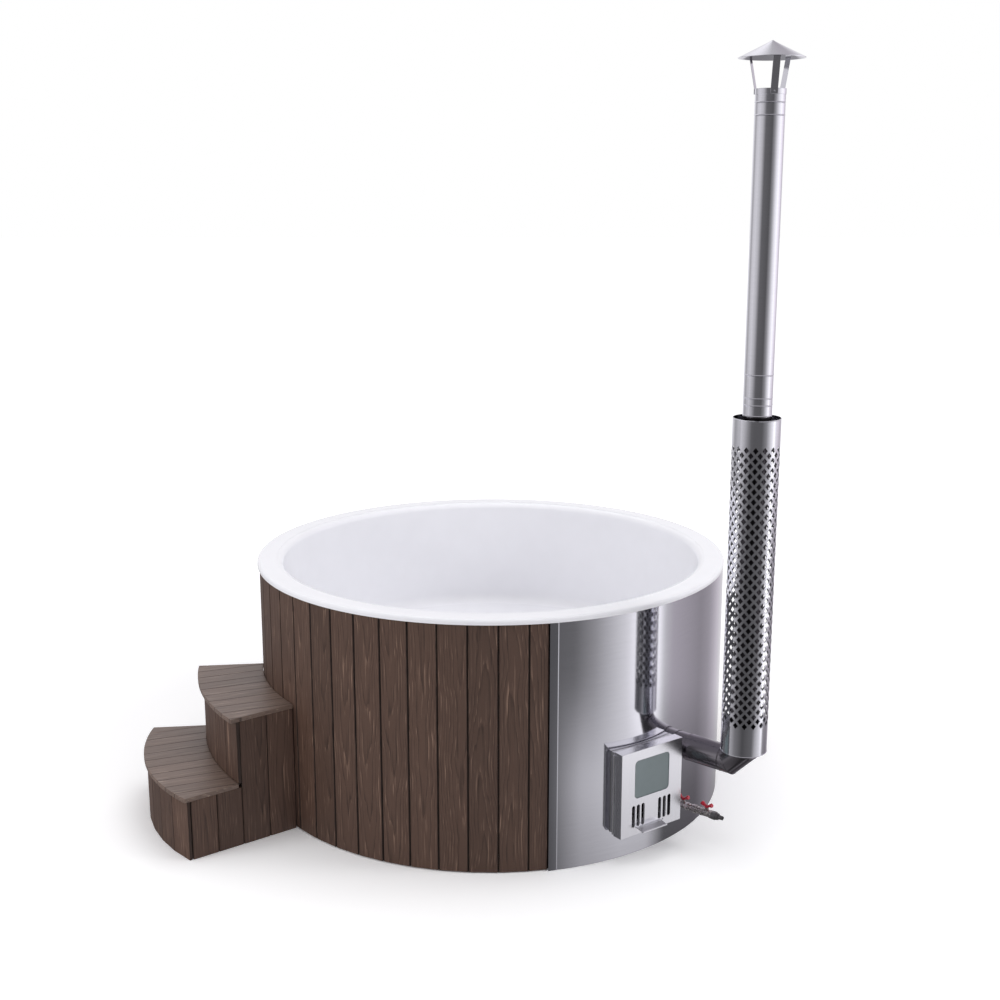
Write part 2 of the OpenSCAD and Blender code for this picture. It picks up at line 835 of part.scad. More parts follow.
// A tube along x
module tube_x(x0, x1, r, wall, z) {
    difference() {
        bar_x(x0, x1, r, z, mid_fn);
        bar_x(x0 - cut_over, x1 + cut_over, r - wall, z, mid_fn);
    }
}

module tube_z(z0, z1, r, wall) {
    difference() {
        translate([0, 0, z0]) cylinder(h = z1 - z0, r = r, $fn = mid_fn);
        translate([0, 0, z0 - cut_over])
            cylinder(h = z1 - z0 + 2 * cut_over, r = r - wall, $fn = mid_fn);
    }
}

module flue_stub() {
    color(steel) at_service() tube_x(stub_in, sleeve_start + spigot_in, stub_r, sheet_t, flue_z);
}

module flue_pipe() {
    color(steel) at_service() tube_x(sleeve_start, elbow_start, pipe_r, sheet_t, flue_z);
}

// Half spaces on the two mitre planes of the elbow. side 1 keeps what lies beyond the plane.
elbow_lead = 200;
half_turn = 22.5;
module mitre_low(side) {
    translate([chimney_axis_r - elbow_cut, 0, flue_z]) rotate([0, -half_turn, 0])
        translate([side > 0 ? 0 : -2 * elbow_lead, -elbow_lead, -elbow_lead])
            cube([2 * elbow_lead, 2 * elbow_lead, 2 * elbow_lead]);
}
module mitre_high(side) {
    translate([chimney_axis_r, 0, flue_z + elbow_cut]) rotate([0, half_turn, 0])
        translate([-elbow_lead, -elbow_lead, side > 0 ? 0 : -2 * elbow_lead])
            cube([2 * elbow_lead, 2 * elbow_lead, 2 * elbow_lead]);
}

// Three tubes, mitred and welded: level, slanted and upright. The slanted one is a sleeve
// that laps its neighbours by a little on both sides of the wall.
module flue_elbow() {
    kink = chimney_axis_r - elbow_cut;
    spigot_r = pipe_r - sheet_t - spigot_gap;
    color(steel) at_service() {
        difference() {
            tube_x(elbow_start, kink + elbow_lead, pipe_r, sheet_t, flue_z);
            mitre_low(1);
        }
        difference() {
            translate([kink, 0, flue_z]) rotate([0, 45, 0])
                tube_z(-elbow_lead, elbow_lead, pipe_r + sleeve_lap, sheet_t + 2 * sleeve_lap);
            mitre_low(-1);
            mitre_high(1);
        }
        difference() {
            translate([chimney_axis_r, 0, 0])
                tube_z(flue_z + elbow_cut - elbow_lead, elbow_top, pipe_r, sheet_t);
            mitre_high(-1);
        }
        tube_x(elbow_start - spigot_in, elbow_start + 2 * sheet_t, spigot_r, sheet_t, flue_z);
        tube_x(elbow_start + sheet_t, elbow_start + 2 * sheet_t, pipe_r - sheet_t / 2,
            2 * sheet_t, flue_z);
    }
}

module at_chimney() { at_service() translate([chimney_axis_r, 0, 0]) children(); }

module lower_pipe() {
    stop = elbow_top - joint_lap / 2;
    color(steel) at_chimney() difference() {
        union() {
            translate([0, 0, stop])
                cylinder(h = joint_z + joint_lap - stop, r = lower_pipe_r, $fn = mid_fn);
            for (z = [elbow_top, joint_z - 2 * stop_bead]) translate([0, 0, z])
                cylinder(h = 2 * stop_bead, r = lower_pipe_r + stop_bead, $fn = mid_fn);
        }
        translate([0, 0, stop - cut_over])
            cylinder(h = joint_z + joint_lap - stop + 2 * cut_over, r = lower_pipe_r - sheet_t,
                $fn = mid_fn);
    }
}

// A rolled bead around a pipe of radius r at height z
module bead(r, z) {
    translate([0, 0, z]) rotate_extrude($fn = mid_fn)
        translate([r - sheet_t / 2, 0]) circle(r = bead_r + sheet_t / 2, $fn = 16);
}

module upper_pipe() {
    top = pipe_top_z - band_t;
    color(steel) at_chimney() difference() {
        union() {
            translate([0, 0, joint_z]) cylinder(h = top - joint_z, r = pipe_r, $fn = mid_fn);
            for (h = bead_heights) bead(pipe_r, joint_z + h);
            for (h = top_bead_drops) if (h > band_drop) bead(pipe_r, pipe_top_z - h);
        }
        translate([0, 0, joint_z - cut_over])
            cylinder(h = top - joint_z + 2 * cut_over, r = pipe_r - sheet_t, $fn = mid_fn);
    }
}

// One diamond hole through the guard's wall, pointing along x
module diamond() {
    plate_x(guard_r - 4 * guard_t, guard_r + 4 * guard_t) polygon([
        [-diamond_w / 2, 0], [0, -diamond_h / 2], [diamond_w / 2, 0], [0, diamond_h / 2]]);
}

// The perforated guard: rows of diamonds, each row turned half a step from the next
module guard_tube() {
    color(steel) at_chimney() difference() {
        tube_z(guard_z, guard_z + guard_h, guard_r, guard_t);
        for (row = [0 : 2 * (guard_rows - 1)], i = [0 : guard_around - 1])
            translate([0, 0, guard_first_z + row * guard_pitch / 2])
                rotate([0, 0, (i + (row % 2) / 2) * 360 / guard_around]) diamond();
    }
}

module spider(z) {
    reach = guard_r - guard_t - seat_gap;
    translate([0, 0, z]) {
        difference() {
            cylinder(h = spider_h, r = lower_pipe_r + seat_gap + sheet_t, $fn = mid_fn);
            translate([0, 0, -cut_over])
                cylinder(h = spider_h + 2 * cut_over, r = lower_pipe_r + seat_gap, $fn = mid_fn);
        }
        for (i = [0 : leg_count - 1]) rotate([0, 0, leg_first_az + i * 360 / leg_count])
            block([lower_pipe_r + seat_gap + sheet_t / 2, -spider_arm_w / 2, 0],
                [reach - seat_gap, spider_arm_w / 2, sheet_t]);
    }
}

module guard_spiders() {
    color(steel) at_chimney() {
        spider(elbow_top + spider_h);
        spider(guard_z + guard_h - spider_drop);
    }
}

cap_rim_z = pipe_top_z + cap_gap;
leg_r = pipe_r + seat_gap + band_t;
cap_fall = (cap_h - sheet_t) / (cap_d / 2 - 2 * sheet_t);

// Height of the cone's underside at distance r from the pipe's axis
function cap_under(r) = cap_rim_z + (cap_d / 2 - 2 * sheet_t - r) * cap_fall;

// Height of a leg's tab at distance r from the axis, so that its corners touch the cone
function tab_top(r) = cap_under(sqrt(r * r + leg_w * leg_w / 4)) - seat_gap;

// Cap collar over the pipe's end, with three straps that flare out to lie under the cone
module cap_legs() {
    collar_z = pipe_top_z - band_drop;
    foot = leg_r + leg_flare;
    tab = foot - leg_lap;
    color(steel) at_chimney() {
        tube_z(collar_z, pipe_top_z, leg_r, band_t);
        tube_z(pipe_top_z - band_t, pipe_top_z, leg_r, band_t + seat_gap + sheet_t);
        for (i = [0 : leg_count - 1]) rotate([0, 0, leg_first_az + i * 360 / leg_count])
            bar_y(-leg_w / 2, leg_w / 2) polygon([
                [leg_r - band_t / 2, collar_z + leg_t], [leg_r + leg_t, collar_z + leg_t],
                [leg_r + leg_t, pipe_top_z + leg_t], [foot + leg_t, cap_rim_z],
                [foot + leg_t, tab_top(foot + leg_t)], [tab, tab_top(tab)],
                [tab, tab_top(tab) - leg_t], [foot, tab_top(foot) - leg_t],
                [foot, cap_rim_z], [leg_r - band_t / 2, pipe_top_z + leg_t]]);
    }
}

module cap_rivets() {
    color(steel) at_chimney() for (i = [0 : leg_count - 1])
        rotate([0, 0, leg_first_az + i * 360 / leg_count])
            bar_x(leg_r + leg_t, leg_r + leg_t + rivet_h, rivet_r, pipe_top_z - band_drop / 2);
}

module rain_cap() {
    cap_r = cap_d / 2;
    t = sheet_t;
    color(steel) at_chimney() translate([0, 0, cap_rim_z]) rotate_extrude($fn = mid_fn)
        polygon([[cap_r, 0], [cap_r, t], [0, cap_h], [0, cap_h - t], [cap_r - 2 * t, 0]]);
}

// Drain line

module floor_drain() {
    color(steel) at_service() translate([floor_drain_r, 0, 0]) difference() {
        union() {
            translate([0, 0, floor_z]) cylinder(h = drain_cap_t, r = drain_cap_r, $fn = small_fn);
            translate([0, 0, drain_z + drain_cap_t])
                cylinder(h = floor_z - drain_z - drain_cap_t, r = drain_tail_r, $fn = small_fn);
        }
        translate([0, 0, drain_z])
            cylinder(h = floor_z - drain_z - drain_cap_t, r = drain_tail_r - 2 * sheet_t,
                $fn = small_fn);
        for (y = [-2 : 2]) translate([0, y * drain_tail_r / 3, 0])
            block([-drain_tail_r * 2 / 3, -drain_cap_t / 2, floor_z - 2 * drain_cap_t],
                [drain_tail_r * 2 / 3, drain_cap_t / 2, floor_z + 2 * drain_cap_t]);
    }
}

// Pipe under the floor, with a cup at its start that takes the floor drain's tail
module drain_pipe() {
    cup_r = drain_tail_r + 2 * sheet_t;
    color(steel) at_service() difference() {
        union() {
            bar_x(floor_drain_r, first_valve_r - valve_len / 2, drain_r, drain_z);
            translate([floor_drain_r, 0, drain_z - drain_r])
                cylinder(h = 2 * drain_r + 2 * drain_cap_t, r = cup_r, $fn = small_fn);
        }
        bar_x(floor_drain_r, first_valve_r, drain_bore_r, drain_z);
        translate([floor_drain_r, 0, drain_z - drain_bore_r])
            cylinder(h = 3 * drain_r, r = drain_tail_r - 2 * sheet_t, $fn = small_fn);
        translate([floor_drain_r, 0, drain_z + drain_cap_t])
            cylinder(h = 2 * drain_r, r = drain_tail_r + run_gap, $fn = small_fn);
    }
}

// A ball valve body around x = 0: hexagon ends, a round waist and the stem's neck
module valve_body(r) {
    half = valve_len / 2;
    end = valve_len / 4;
    color(steel) at_service() translate([r, 0, drain_z]) difference() {
        union() {
            bar_x(-half, -half + end, valve_r + sheet_t, 0, hex_fn);
            bar_x(-half + end, half - end, valve_r);
            bar_x(half - end, half, valve_r + sheet_t, 0, hex_fn);
            cylinder(h = valve_neck_h, r = valve_neck_r, $fn = small_fn);
        }
        bar_x(-half - cut_over, half + cut_over, valve_bore_r);
        sphere(r = ball_r + ball_gap, $fn = small_fn);
        cylinder(h = valve_neck_h + cut_over, r = stem_r + run_gap, $fn = small_fn);
    }
}

// The bored ball and the stem that turns it
module valve_ball(r) {
    color(steel) at_service() translate([r, 0, drain_z]) difference() {
        union() {
            sphere(r = ball_r, $fn = small_fn);
            cylinder(h = hub_z, r = stem_r, $fn = small_fn);
        }
        bar_x(-2 * ball_r, 2 * ball_r, valve_bore_r);
    }
}

// Butterfly handle: a hub and two wings that rise and widen towards their ends
module valve_handle(r) {
    half = handle_len / 2;
    color(red) at_service() translate([r, 0, drain_z + valve_neck_h + seat_gap]) {
        difference() {
            cylinder(h = hub_h, r = hub_r, $fn = small_fn);
            translate([0, 0, -cut_over])
                cylinder(h = hub_z - valve_neck_h - seat_gap + cut_over, r = stem_r, $fn = small_fn);
        }
        for (side = [0, 1]) mirror([side, 0, 0]) difference() {
            bar_y(-wing_w / 2, wing_w / 2) polygon([
                [hub_r - wing_t, 0], [hub_r, 0], [half - wing_t, wing_rise - wing_t],
                [half, wing_rise - wing_t], [half, wing_rise + wing_t], [half - wing_t, wing_rise + wing_t],
                [half - 2 * wing_t, wing_rise], [hub_r - wing_t, hub_h]]);
            translate([0, 0, -cut_over])
                cylinder(h = hub_z - valve_neck_h - seat_gap + cut_over, r = stem_r, $fn = small_fn);
        }
    }
}

module valve_1_body() { valve_body(first_valve_r); }
module valve_1_ball() { valve_ball(first_valve_r); }
module valve_1_handle() { valve_handle(first_valve_r); }
module valve_2_body() { valve_body(valve_2_r); }
module valve_2_ball() { valve_ball(valve_2_r); }
module valve_2_handle() { valve_handle(valve_2_r); }

module pipe_union() {
    mid = (valve_1_end + union_end) / 2;
    color(steel) at_service() difference() {
        union() {
            bar_x(valve_1_end, union_end, union_r, drain_z);
            bar_x(mid - union_nut_len / 2, mid + union_nut_len / 2, union_nut_r, drain_z, 8);
        }
        bar_x(valve_1_end - cut_over, union_end + cut_over, valve_bore_r, drain_z);
    }
}

module drain_reducer() {
    end = valve_2_end + reducer_len;
    color(steel) at_service() difference() {
        union() {
            bar_x(valve_2_end, end - reducer_len / 3, reducer_r, drain_z, hex_fn);
            bar_x(valve_2_end, end, reducer_r - 2 * sheet_t, drain_z);
        }
        bar_x(valve_2_end - cut_over, end + cut_over, nozzle_bore_r, drain_z);
    }
}

// Hose nozzle: a plain tail with two grooves that grip the hose
module hose_nozzle() {
    start = valve_2_end + reducer_len;
    groove = nozzle_r - nozzle_groove;
    color(steel) at_service() translate([start, 0, drain_z]) rotate([0, 90, 0])
        rotate_extrude($fn = small_fn) polygon([
            [nozzle_bore_r, 0], [nozzle_r, 0], [nozzle_r, nozzle_len * 0.6],
            [groove, nozzle_len * 0.65], [nozzle_r, nozzle_len * 0.7],
            [nozzle_r, nozzle_len * 0.8], [groove, nozzle_len * 0.85], [nozzle_r, nozzle_len * 0.9],
            [groove, nozzle_len], [nozzle_bore_r, nozzle_len]]);
}

// Stair

// Outline of the lower tread, drawn in by d
module low_outline(d) {
    intersection() {
        translate([low_edge_r - low_round, 0]) circle(r = low_round - d, $fn = big_fn);
        stair_sector(d);
    }
}

module up_outline(d) {
    intersection() {
        circle(r = up_edge_r - d, $fn = big_fn);
        stair_sector(d);
    }
}

// Tread boards: strips along x, cut to the outline that is passed as a child
module tread(z, inner, half_w) {
    count = 2 * ceil(half_w / tread_w) + 1;
    at_stair() translate([0, 0, z - tread_t]) linear_extrude(tread_t) intersection() {
        difference() {
            children();
            circle(r = inner, $fn = big_fn);
        }
        for (i = [0 : count - 1]) let (y = (i - (count - 1) / 2) * tread_w)
            translate([0, y - tread_w / 2 + stair_gap / 2]) square([2 * low_edge_r, tread_w - stair_gap]);
    }
}

up_riser_r = up_edge_r - up_nosing;
riser_x = up_riser_r - riser_t;
up_bearer_x = riser_x * cos(stair_half) - 2 * bearer_t;

module lower_tread() {
    color(wood) tread(low_z, up_riser_r + seat_gap, low_half) low_outline(0);
}

module upper_tread() {
    color(wood) tread(up_z, stair_inner, up_half) up_outline(0);
}

// Boards of one side, standing along the side plane. Their feet are on the ground.
module side_boards(from, to, height, count) {
    step = (to - from) / count;
    for (i = [0 : count - 1])
        block([from + i * step + stair_gap / 2, -stair_board_t, 0],
            [from + (i + 1) * step - stair_gap / 2, 0, height]);
}

module stair_side_boards() {
    up_to = riser_x - seat_gap;
    low_to = low_corner_r - low_nosing - riser_t - seat_gap;
    side_in = stair_inner + stair_gap;
    boards = round((up_to - side_in) / board_w);
    low_boards = round((low_to - up_to) / board_w);
    color(wood) at_stair() for (side = [0, 1]) mirror([0, side, 0]) rotate([0, 0, stair_half]) {
        side_boards(side_in, up_to, up_z - tread_t, boards);
        side_boards(up_to, low_to, low_z - tread_t, low_boards);
    }
}

// Boards of one riser: wedges of a ring around (cx, 0), cut to the stair's sector.
// Their front faces lie on radius r.
module riser_boards(cx, r, half, z0, z1) {
    count = round(2 * half * PI / 180 * r / board_w);
    step = 2 * half / count;
    back = r - riser_t;
    translate([0, 0, z0]) linear_extrude(z1 - z0) intersection() {
        stair_sector(0);
        for (i = [0 : count - 1]) translate([cx, 0]) rotate(-half + (i + 0.5) * step) polygon([
            [back, -back * tan(step / 2) + stair_gap / 2],
            [r - stair_gap, -r * tan(step / 2) + stair_gap / 2],
            [r, -r * tan(step / 2) + 2 * stair_gap], [r, r * tan(step / 2) - 2 * stair_gap],
            [r - stair_gap, r * tan(step / 2) - stair_gap / 2],
            [back, back * tan(step / 2) - stair_gap / 2]]);
    }
}

module stair_riser_boards() {
    low_half_deg = asin(low_half / low_round);
    color(wood) at_stair() {
        riser_boards(low_edge_r - low_round, low_round - low_nosing, low_half_deg, 0,
            low_z - tread_t);
        riser_boards(0, up_riser_r, stair_half, low_z, up_z - tread_t);
    }
}

// The stair's sector, drawn in from its side planes by d
module stair_sector(d) {
    apex = d / sin(stair_half);
    reach = 2 * low_edge_r;
    polygon([[apex, 0], [apex + reach * cos(stair_half), -reach * sin(stair_half)],
        [apex + reach * cos(stair_half), reach * sin(stair_half)]]);
}

// One bearer at distance x, its top at height z, reaching to the side boards
module stair_bearer(x, z) {
    translate([0, 0, z - bearer_h]) linear_extrude(bearer_h) intersection() {
        stair_sector(stair_board_t + seat_gap);
        translate([x, -low_half]) square([bearer_t, 2 * low_half]);
    }
}

// Bearers under the treads, across the stair
module stair_bearers() {
    color(wood) at_stair() {
        for (x = [up_riser_r + bearer_t, low_corner_r - 6 * stair_board_t])
            stair_bearer(x, low_z - tread_t);
        for (x = [stair_inner + 2 * bearer_t, up_bearer_x]) stair_bearer(x, up_z - tread_t);
    }
}

module stair_posts() {
    x = up_bearer_x - (stair_post_w - bearer_t) / 2;
    half = x * tan(stair_half) - (stair_board_t + seat_gap) / cos(stair_half);
    color(wood) at_stair() for (side = [0, 1]) mirror([0, side, 0])
        block([x, half - stair_post_w, 0],
            [x + stair_post_w, half, up_z - tread_t - bearer_h]);
}

liner();
rim_ring();
top_hoop();
middle_hoop();
bottom_hoop();
frame_posts();
cladding_boards();
floor_joists();
floor_deck();
floor_bearers();
steel_wall();
fire_board();
wall_trims();
stove_jacket();
firebox();
fire_grate();
smoke_box();
circulation_pipes();
circulation_flanges();
door_frame();
hinge_leaf_frame();
hinge_pin();
hinge_leaf_door();
door_pan();
door_front();
door_gasket();
window_glass();
glass_retainer();
retainer_screws();
slide_guides();
air_slide();
flue_stub();
flue_pipe();
flue_elbow();
lower_pipe();
upper_pipe();
guard_tube();
guard_spiders();
cap_legs();
cap_rivets();
rain_cap();
floor_drain();
drain_pipe();
valve_1_body();
valve_1_ball();
valve_1_handle();
pipe_union();
valve_2_body();
valve_2_ball();
valve_2_handle();
drain_reducer();
hose_nozzle();
stair_side_boards();
stair_riser_boards();
lower_tread();
upper_tread();
stair_bearers();
stair_posts();
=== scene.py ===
"""Dresses the frame of a round wood-clad hot tub with a stove, a chimney and a stair.

Lengths are in metres. The tub's axis is Z, the ground is z = 0 and azimuth 0 is +X.
"""

import random
from functools import partial
from math import cos, degrees, hypot, pi, radians, sin, sqrt, tan

import bmesh
import bpy
from bpy.props import FloatProperty, IntProperty, PointerProperty, StringProperty
from bpy.types import Operator, Panel, PropertyGroup
from mathutils import Matrix, Vector


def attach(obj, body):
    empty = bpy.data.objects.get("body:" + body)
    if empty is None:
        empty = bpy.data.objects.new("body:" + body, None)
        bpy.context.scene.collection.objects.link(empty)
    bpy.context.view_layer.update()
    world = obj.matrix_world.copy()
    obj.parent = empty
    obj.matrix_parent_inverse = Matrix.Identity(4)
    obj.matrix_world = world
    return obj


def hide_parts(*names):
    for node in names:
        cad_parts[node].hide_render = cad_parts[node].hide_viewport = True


bl_info = {
    "name": "Wood-clad hot tub",
    "version": (1, 0, 0),
    "blender": (4, 5, 0),
    "location": "3D View > Sidebar > Hot Tub",
    "description": "Dresses a round hot tub with its stove, chimney and stair",
    "category": "Object",
}

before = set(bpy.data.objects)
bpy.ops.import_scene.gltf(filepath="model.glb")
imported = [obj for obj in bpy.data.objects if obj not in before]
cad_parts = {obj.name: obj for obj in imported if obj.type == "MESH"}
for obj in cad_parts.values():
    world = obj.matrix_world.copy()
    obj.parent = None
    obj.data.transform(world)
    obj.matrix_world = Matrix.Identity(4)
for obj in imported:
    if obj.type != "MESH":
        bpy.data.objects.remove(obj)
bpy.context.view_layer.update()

# Azimuths in degrees, and the CAD's own lengths
DOOR_AZ = -54.0
SERVICE_AZ = -42.0  # The flue and the drain line
STAIR_AZ = -158.3
STEEL_AZ = (-77.4, 6.8)
TUB_R = 0.999
TUB_H = 1.0
STEEL_R = 1.006
STEEL_FOOT = 0.001
STEEL_TOP = 0.9995
CHIMNEY_R = 1.310
FLUE_Z = 0.397
PIPE_R = 0.05325
SHEET = 0.0015
RETURNS_Z = (0.275, 0.400)  # The circulation pipes
DRAIN_Z = 0.141
VALVES = {"valve_1": 1.042, "valve_2": 1.154}  # Distances from the tub's axis
VALVE_HALF = 0.026
X_AXIS = Matrix.Rotation(radians(90), 4, "Y")


# Colours, nodes and finishes


def linear(code, part=1.0):
    """The linear colour of an sRGB hex code, or of a part of its light."""
    levels = [int(code[i : i + 2], 16) / 255 for i in (1, 3, 5)]
    return [part * (c / 12.92 if c <= 0.04045 else ((c + 0.055) / 1.055) ** 2.4)
            for c in levels] + [1.0]


def tint(colour, part=1.0):
    """The linear colour of a hex code, or of the user's colour of that name."""
    if colour[0] != "#":
        colour = getattr(bpy.context.scene.tub_colours, colour)
    return linear(colour, part)


def add(tree, kind, inputs=(), stops=(), out=0, **settings):
    """Adds a node with its settings, its ramp's stops and its values or links. Returns one of
    its outputs, or all of them where `out` is None."""
    node = tree.nodes.new(kind if "Node" in kind else "ShaderNode" + kind)
    for key, value in settings.items():
        setattr(node, key, value)
    if stops:
        elements = node.color_ramp.elements
        while len(elements) < len(stops):
            elements.new(1.0)
        for element, (place, colour) in zip(elements, stops):
            element.position = place
            element.color = colour
    for key, value in inputs.items() if isinstance(inputs, dict) else enumerate(inputs):
        if isinstance(value, bpy.types.NodeSocket):
            tree.links.new(value, node.inputs[key])
        else:
            node.inputs[key].default_value = value
    return node.outputs if out is None else node.outputs[out]


def blank(name):
    """A new material without nodes, and the function that adds nodes to it."""
    material = bpy.data.materials.new(name)
    material.use_nodes = True
    material.node_tree.nodes.clear()
    return material, partial(add, material.node_tree)


def stretched(node, vector, scale, size, detail=2.0, rough=0.5):
    """Noise whose grains are `size` metres wide, stretched by `scale` along each axis."""
    spread = node("VectorMath", [vector, [s / size for s in scale]], operation="MULTIPLY")
    return node("TexNoise", {"Vector": spread, "Scale": 1.0, "Detail": detail, "Roughness": rough})


def grained(name, tones, roughness, ring, contrast, pool, pooled):
    """Board wood: growth rings cut through lengthwise, fibres along the board, and a tone of
    its own for each board. `tones` are its dark, middle and light colour. `ring` is the width of
    a growth ring in metres. The last two arguments give the width, in metres, of the edge by each
    groove that is darkened by pooled stain and painted shade, and the part of its light it keeps."""
    material, node = blank(name)
    place = node("Attribute", out="Vector", attribute_name="grain")
    tone, half = [node("Attribute", out="Fac", attribute_name=a) for a in ("tone", "half")]
    across, behind, along = node("SeparateXYZ", [place], out=None)
    shift = node("VectorMath", {0: (3.7, 0, 91), "Scale": tone}, operation="SCALE")
    moved = node("VectorMath", [place, shift], operation="ADD")
    # The log's heart lies behind the board, off to one side and at a slant, so rings make arches
    side, slant = [
        node("Math", [node("Math", [node("Math", [tone, k], operation="MULTIPLY")],
                           operation="FRACT"), 0.09, -0.045], operation="MULTIPLY_ADD")
        for k in (17.3, 7.7)]
    wander = node("Math", [stretched(node, moved, (0.3, 0.3, 1), 0.35), 0.07, -0.035],
                  operation="MULTIPLY_ADD")
    off = node("Math", [node("Math", [across, side], operation="ADD"), wander], operation="ADD")
    deep = node("Math", [node("Math", [along, 0.5], operation="SUBTRACT"), slant,
                         node("Math", [behind, 0.042], operation="ADD")], operation="MULTIPLY_ADD")
    radius = node("VectorMath", [node("CombineXYZ", [off, deep])], out="Value", operation="LENGTH")
    rings = node("Math", [node("Math", [radius, ring], operation="DIVIDE"),
                          stretched(node, moved, (1, 1, 0.08), 0.02)], operation="ADD")
    late = node("ValToRGB", [node("Math", [rings], operation="FRACT")],
                [(place, (v, v, v, 1)) for place, v in ((0, 0), (0.6, 0.45), (0.9, 1), (1, 0.1))])
    # Fibre bundles 9 mm and 4 mm wide: coarser than real fibres, so that they show from afar
    coarse = stretched(node, moved, (1, 1, 0.035), 0.009, 3)
    fine = stretched(node, moved, (1, 1, 0.03), 0.004)
    fibres = node("Math", [fine, 0.5, node("Math", [coarse, 0.4], operation="MULTIPLY")],
                  operation="MULTIPLY_ADD")
    figure = node("Math", [late, contrast * 0.42, fibres], operation="MULTIPLY_ADD")
    dark, mid, light = [tint(colour) for colour in tones]
    colour = node("ValToRGB", [figure], [(0.30, light), (0.46, mid), (0.62, mid), (0.9, dark)])
    # Stain takes a little differently on each board and fades in broad patches. Each board darkens
    # towards its grooves: pooled stain and painted shade
    shade = node("Math", [stretched(node, moved, (1, 1, 0.3), 0.12), 0.14,
                          node("Math", [tone, 0.26, 0.80], operation="MULTIPLY_ADD")],
                 operation="MULTIPLY_ADD")
    inward = node("Math", [half, node("Math", [across], operation="ABSOLUTE")],
                  operation="SUBTRACT")
    groove = node("MapRange", [inward, pool, pool * 0.45, 1.0, pooled])
    shade = node("Math", [shade, groove], operation="MULTIPLY")
    height = node("Math", [fine, 0.6, coarse], operation="MULTIPLY_ADD")
    node("OutputMaterial", [node("BsdfPrincipled", {
        "Base Color": node("VectorMath", {0: colour, "Scale": shade}, operation="SCALE"),
        "Roughness": node("Math", [coarse, 0.25, roughness - 0.12], operation="MULTIPLY_ADD"),
        "Normal": node("Bump", {"Height": height, "Distance": 0.0007, "Strength": 0.5}),
    })], out=None)
    return material


def steel(name, colour, roughness, line, depth, stretch):
    """Stainless steel with brushing lines `line` metres wide, stretched along `stretch`."""
    material, node = blank(name)
    place = node("TexCoord", out="Object")
    lines = stretched(node, place, stretch, line, 3, 0.6)
    cloud = stretched(node, place, (1, 1, 0.5), 0.16)
    base = node("ValToRGB", [lines], [(0.35, tint(colour, 0.95)), (0.65, tint(colour))])
    # Surfaces marked with painted shade, such as the guard's inside, keep only a fifth of their
    # shine, so that the inside looks dark
    soot = node("Attribute", out="Fac", attribute_name="soot")
    unshaded_part = node("Math", [soot, -0.8, 1.0], operation="MULTIPLY_ADD")
    level = node("Math", [lines, 0.08, roughness - 0.06], operation="MULTIPLY_ADD")
    node("OutputMaterial", [node("BsdfPrincipled", {
        "Metallic": 1.0,
        "Base Color": node("VectorMath", {0: base, "Scale": unshaded_part}, operation="SCALE"),
        "Roughness": node("Math", [cloud, 0.04, level], operation="MULTIPLY_ADD"),
        "Normal": node("Bump", {"Height": lines, "Distance": depth, "Strength": 0.3}),
    })], out=None)
    return material


def mottled(name, tones, grain, detail, roughness, waver=0.0, depth=0.0, strength=0.3,
            metal=0.0, coat=0.0, scale=(1, 1, 1), turn=0.0):
    """A surface that wavers between two tones in grains `grain` metres wide. Its roughness may
    waver with them, and they stand up by `depth`. `scale` and `turn` lay the grains along it."""
    material, node = blank(name)
    place = node("TexCoord", out="Object")
    if turn:
        place = node("Mapping", {"Vector": place, "Rotation": (0, 0, radians(turn))})
    grains = stretched(node, place, scale, grain, detail)
    stops = [(stop, tint(colour, part)) for stop, colour, part in tones]
    given = {"Base Color": node("ValToRGB", [grains], stops), "Roughness": roughness,
             "Metallic": metal, "Coat Weight": coat}
    if waver:
        given["Roughness"] = node("Math", [grains, waver, roughness - waver / 2],
                                  operation="MULTIPLY_ADD")
    if depth:
        given["Normal"] = node("Bump", {"Height": grains, "Distance": depth, "Strength": strength})
    node("OutputMaterial", [node("BsdfPrincipled", given)], out=None)
    return material


# Brushing that runs round a sheet or pipe, and up a door
AROUND, ROUND_PIPE, UPWARD = (0.01, 0.01, 1), (0.02, 0.02, 1), (1, 1, 0.01)

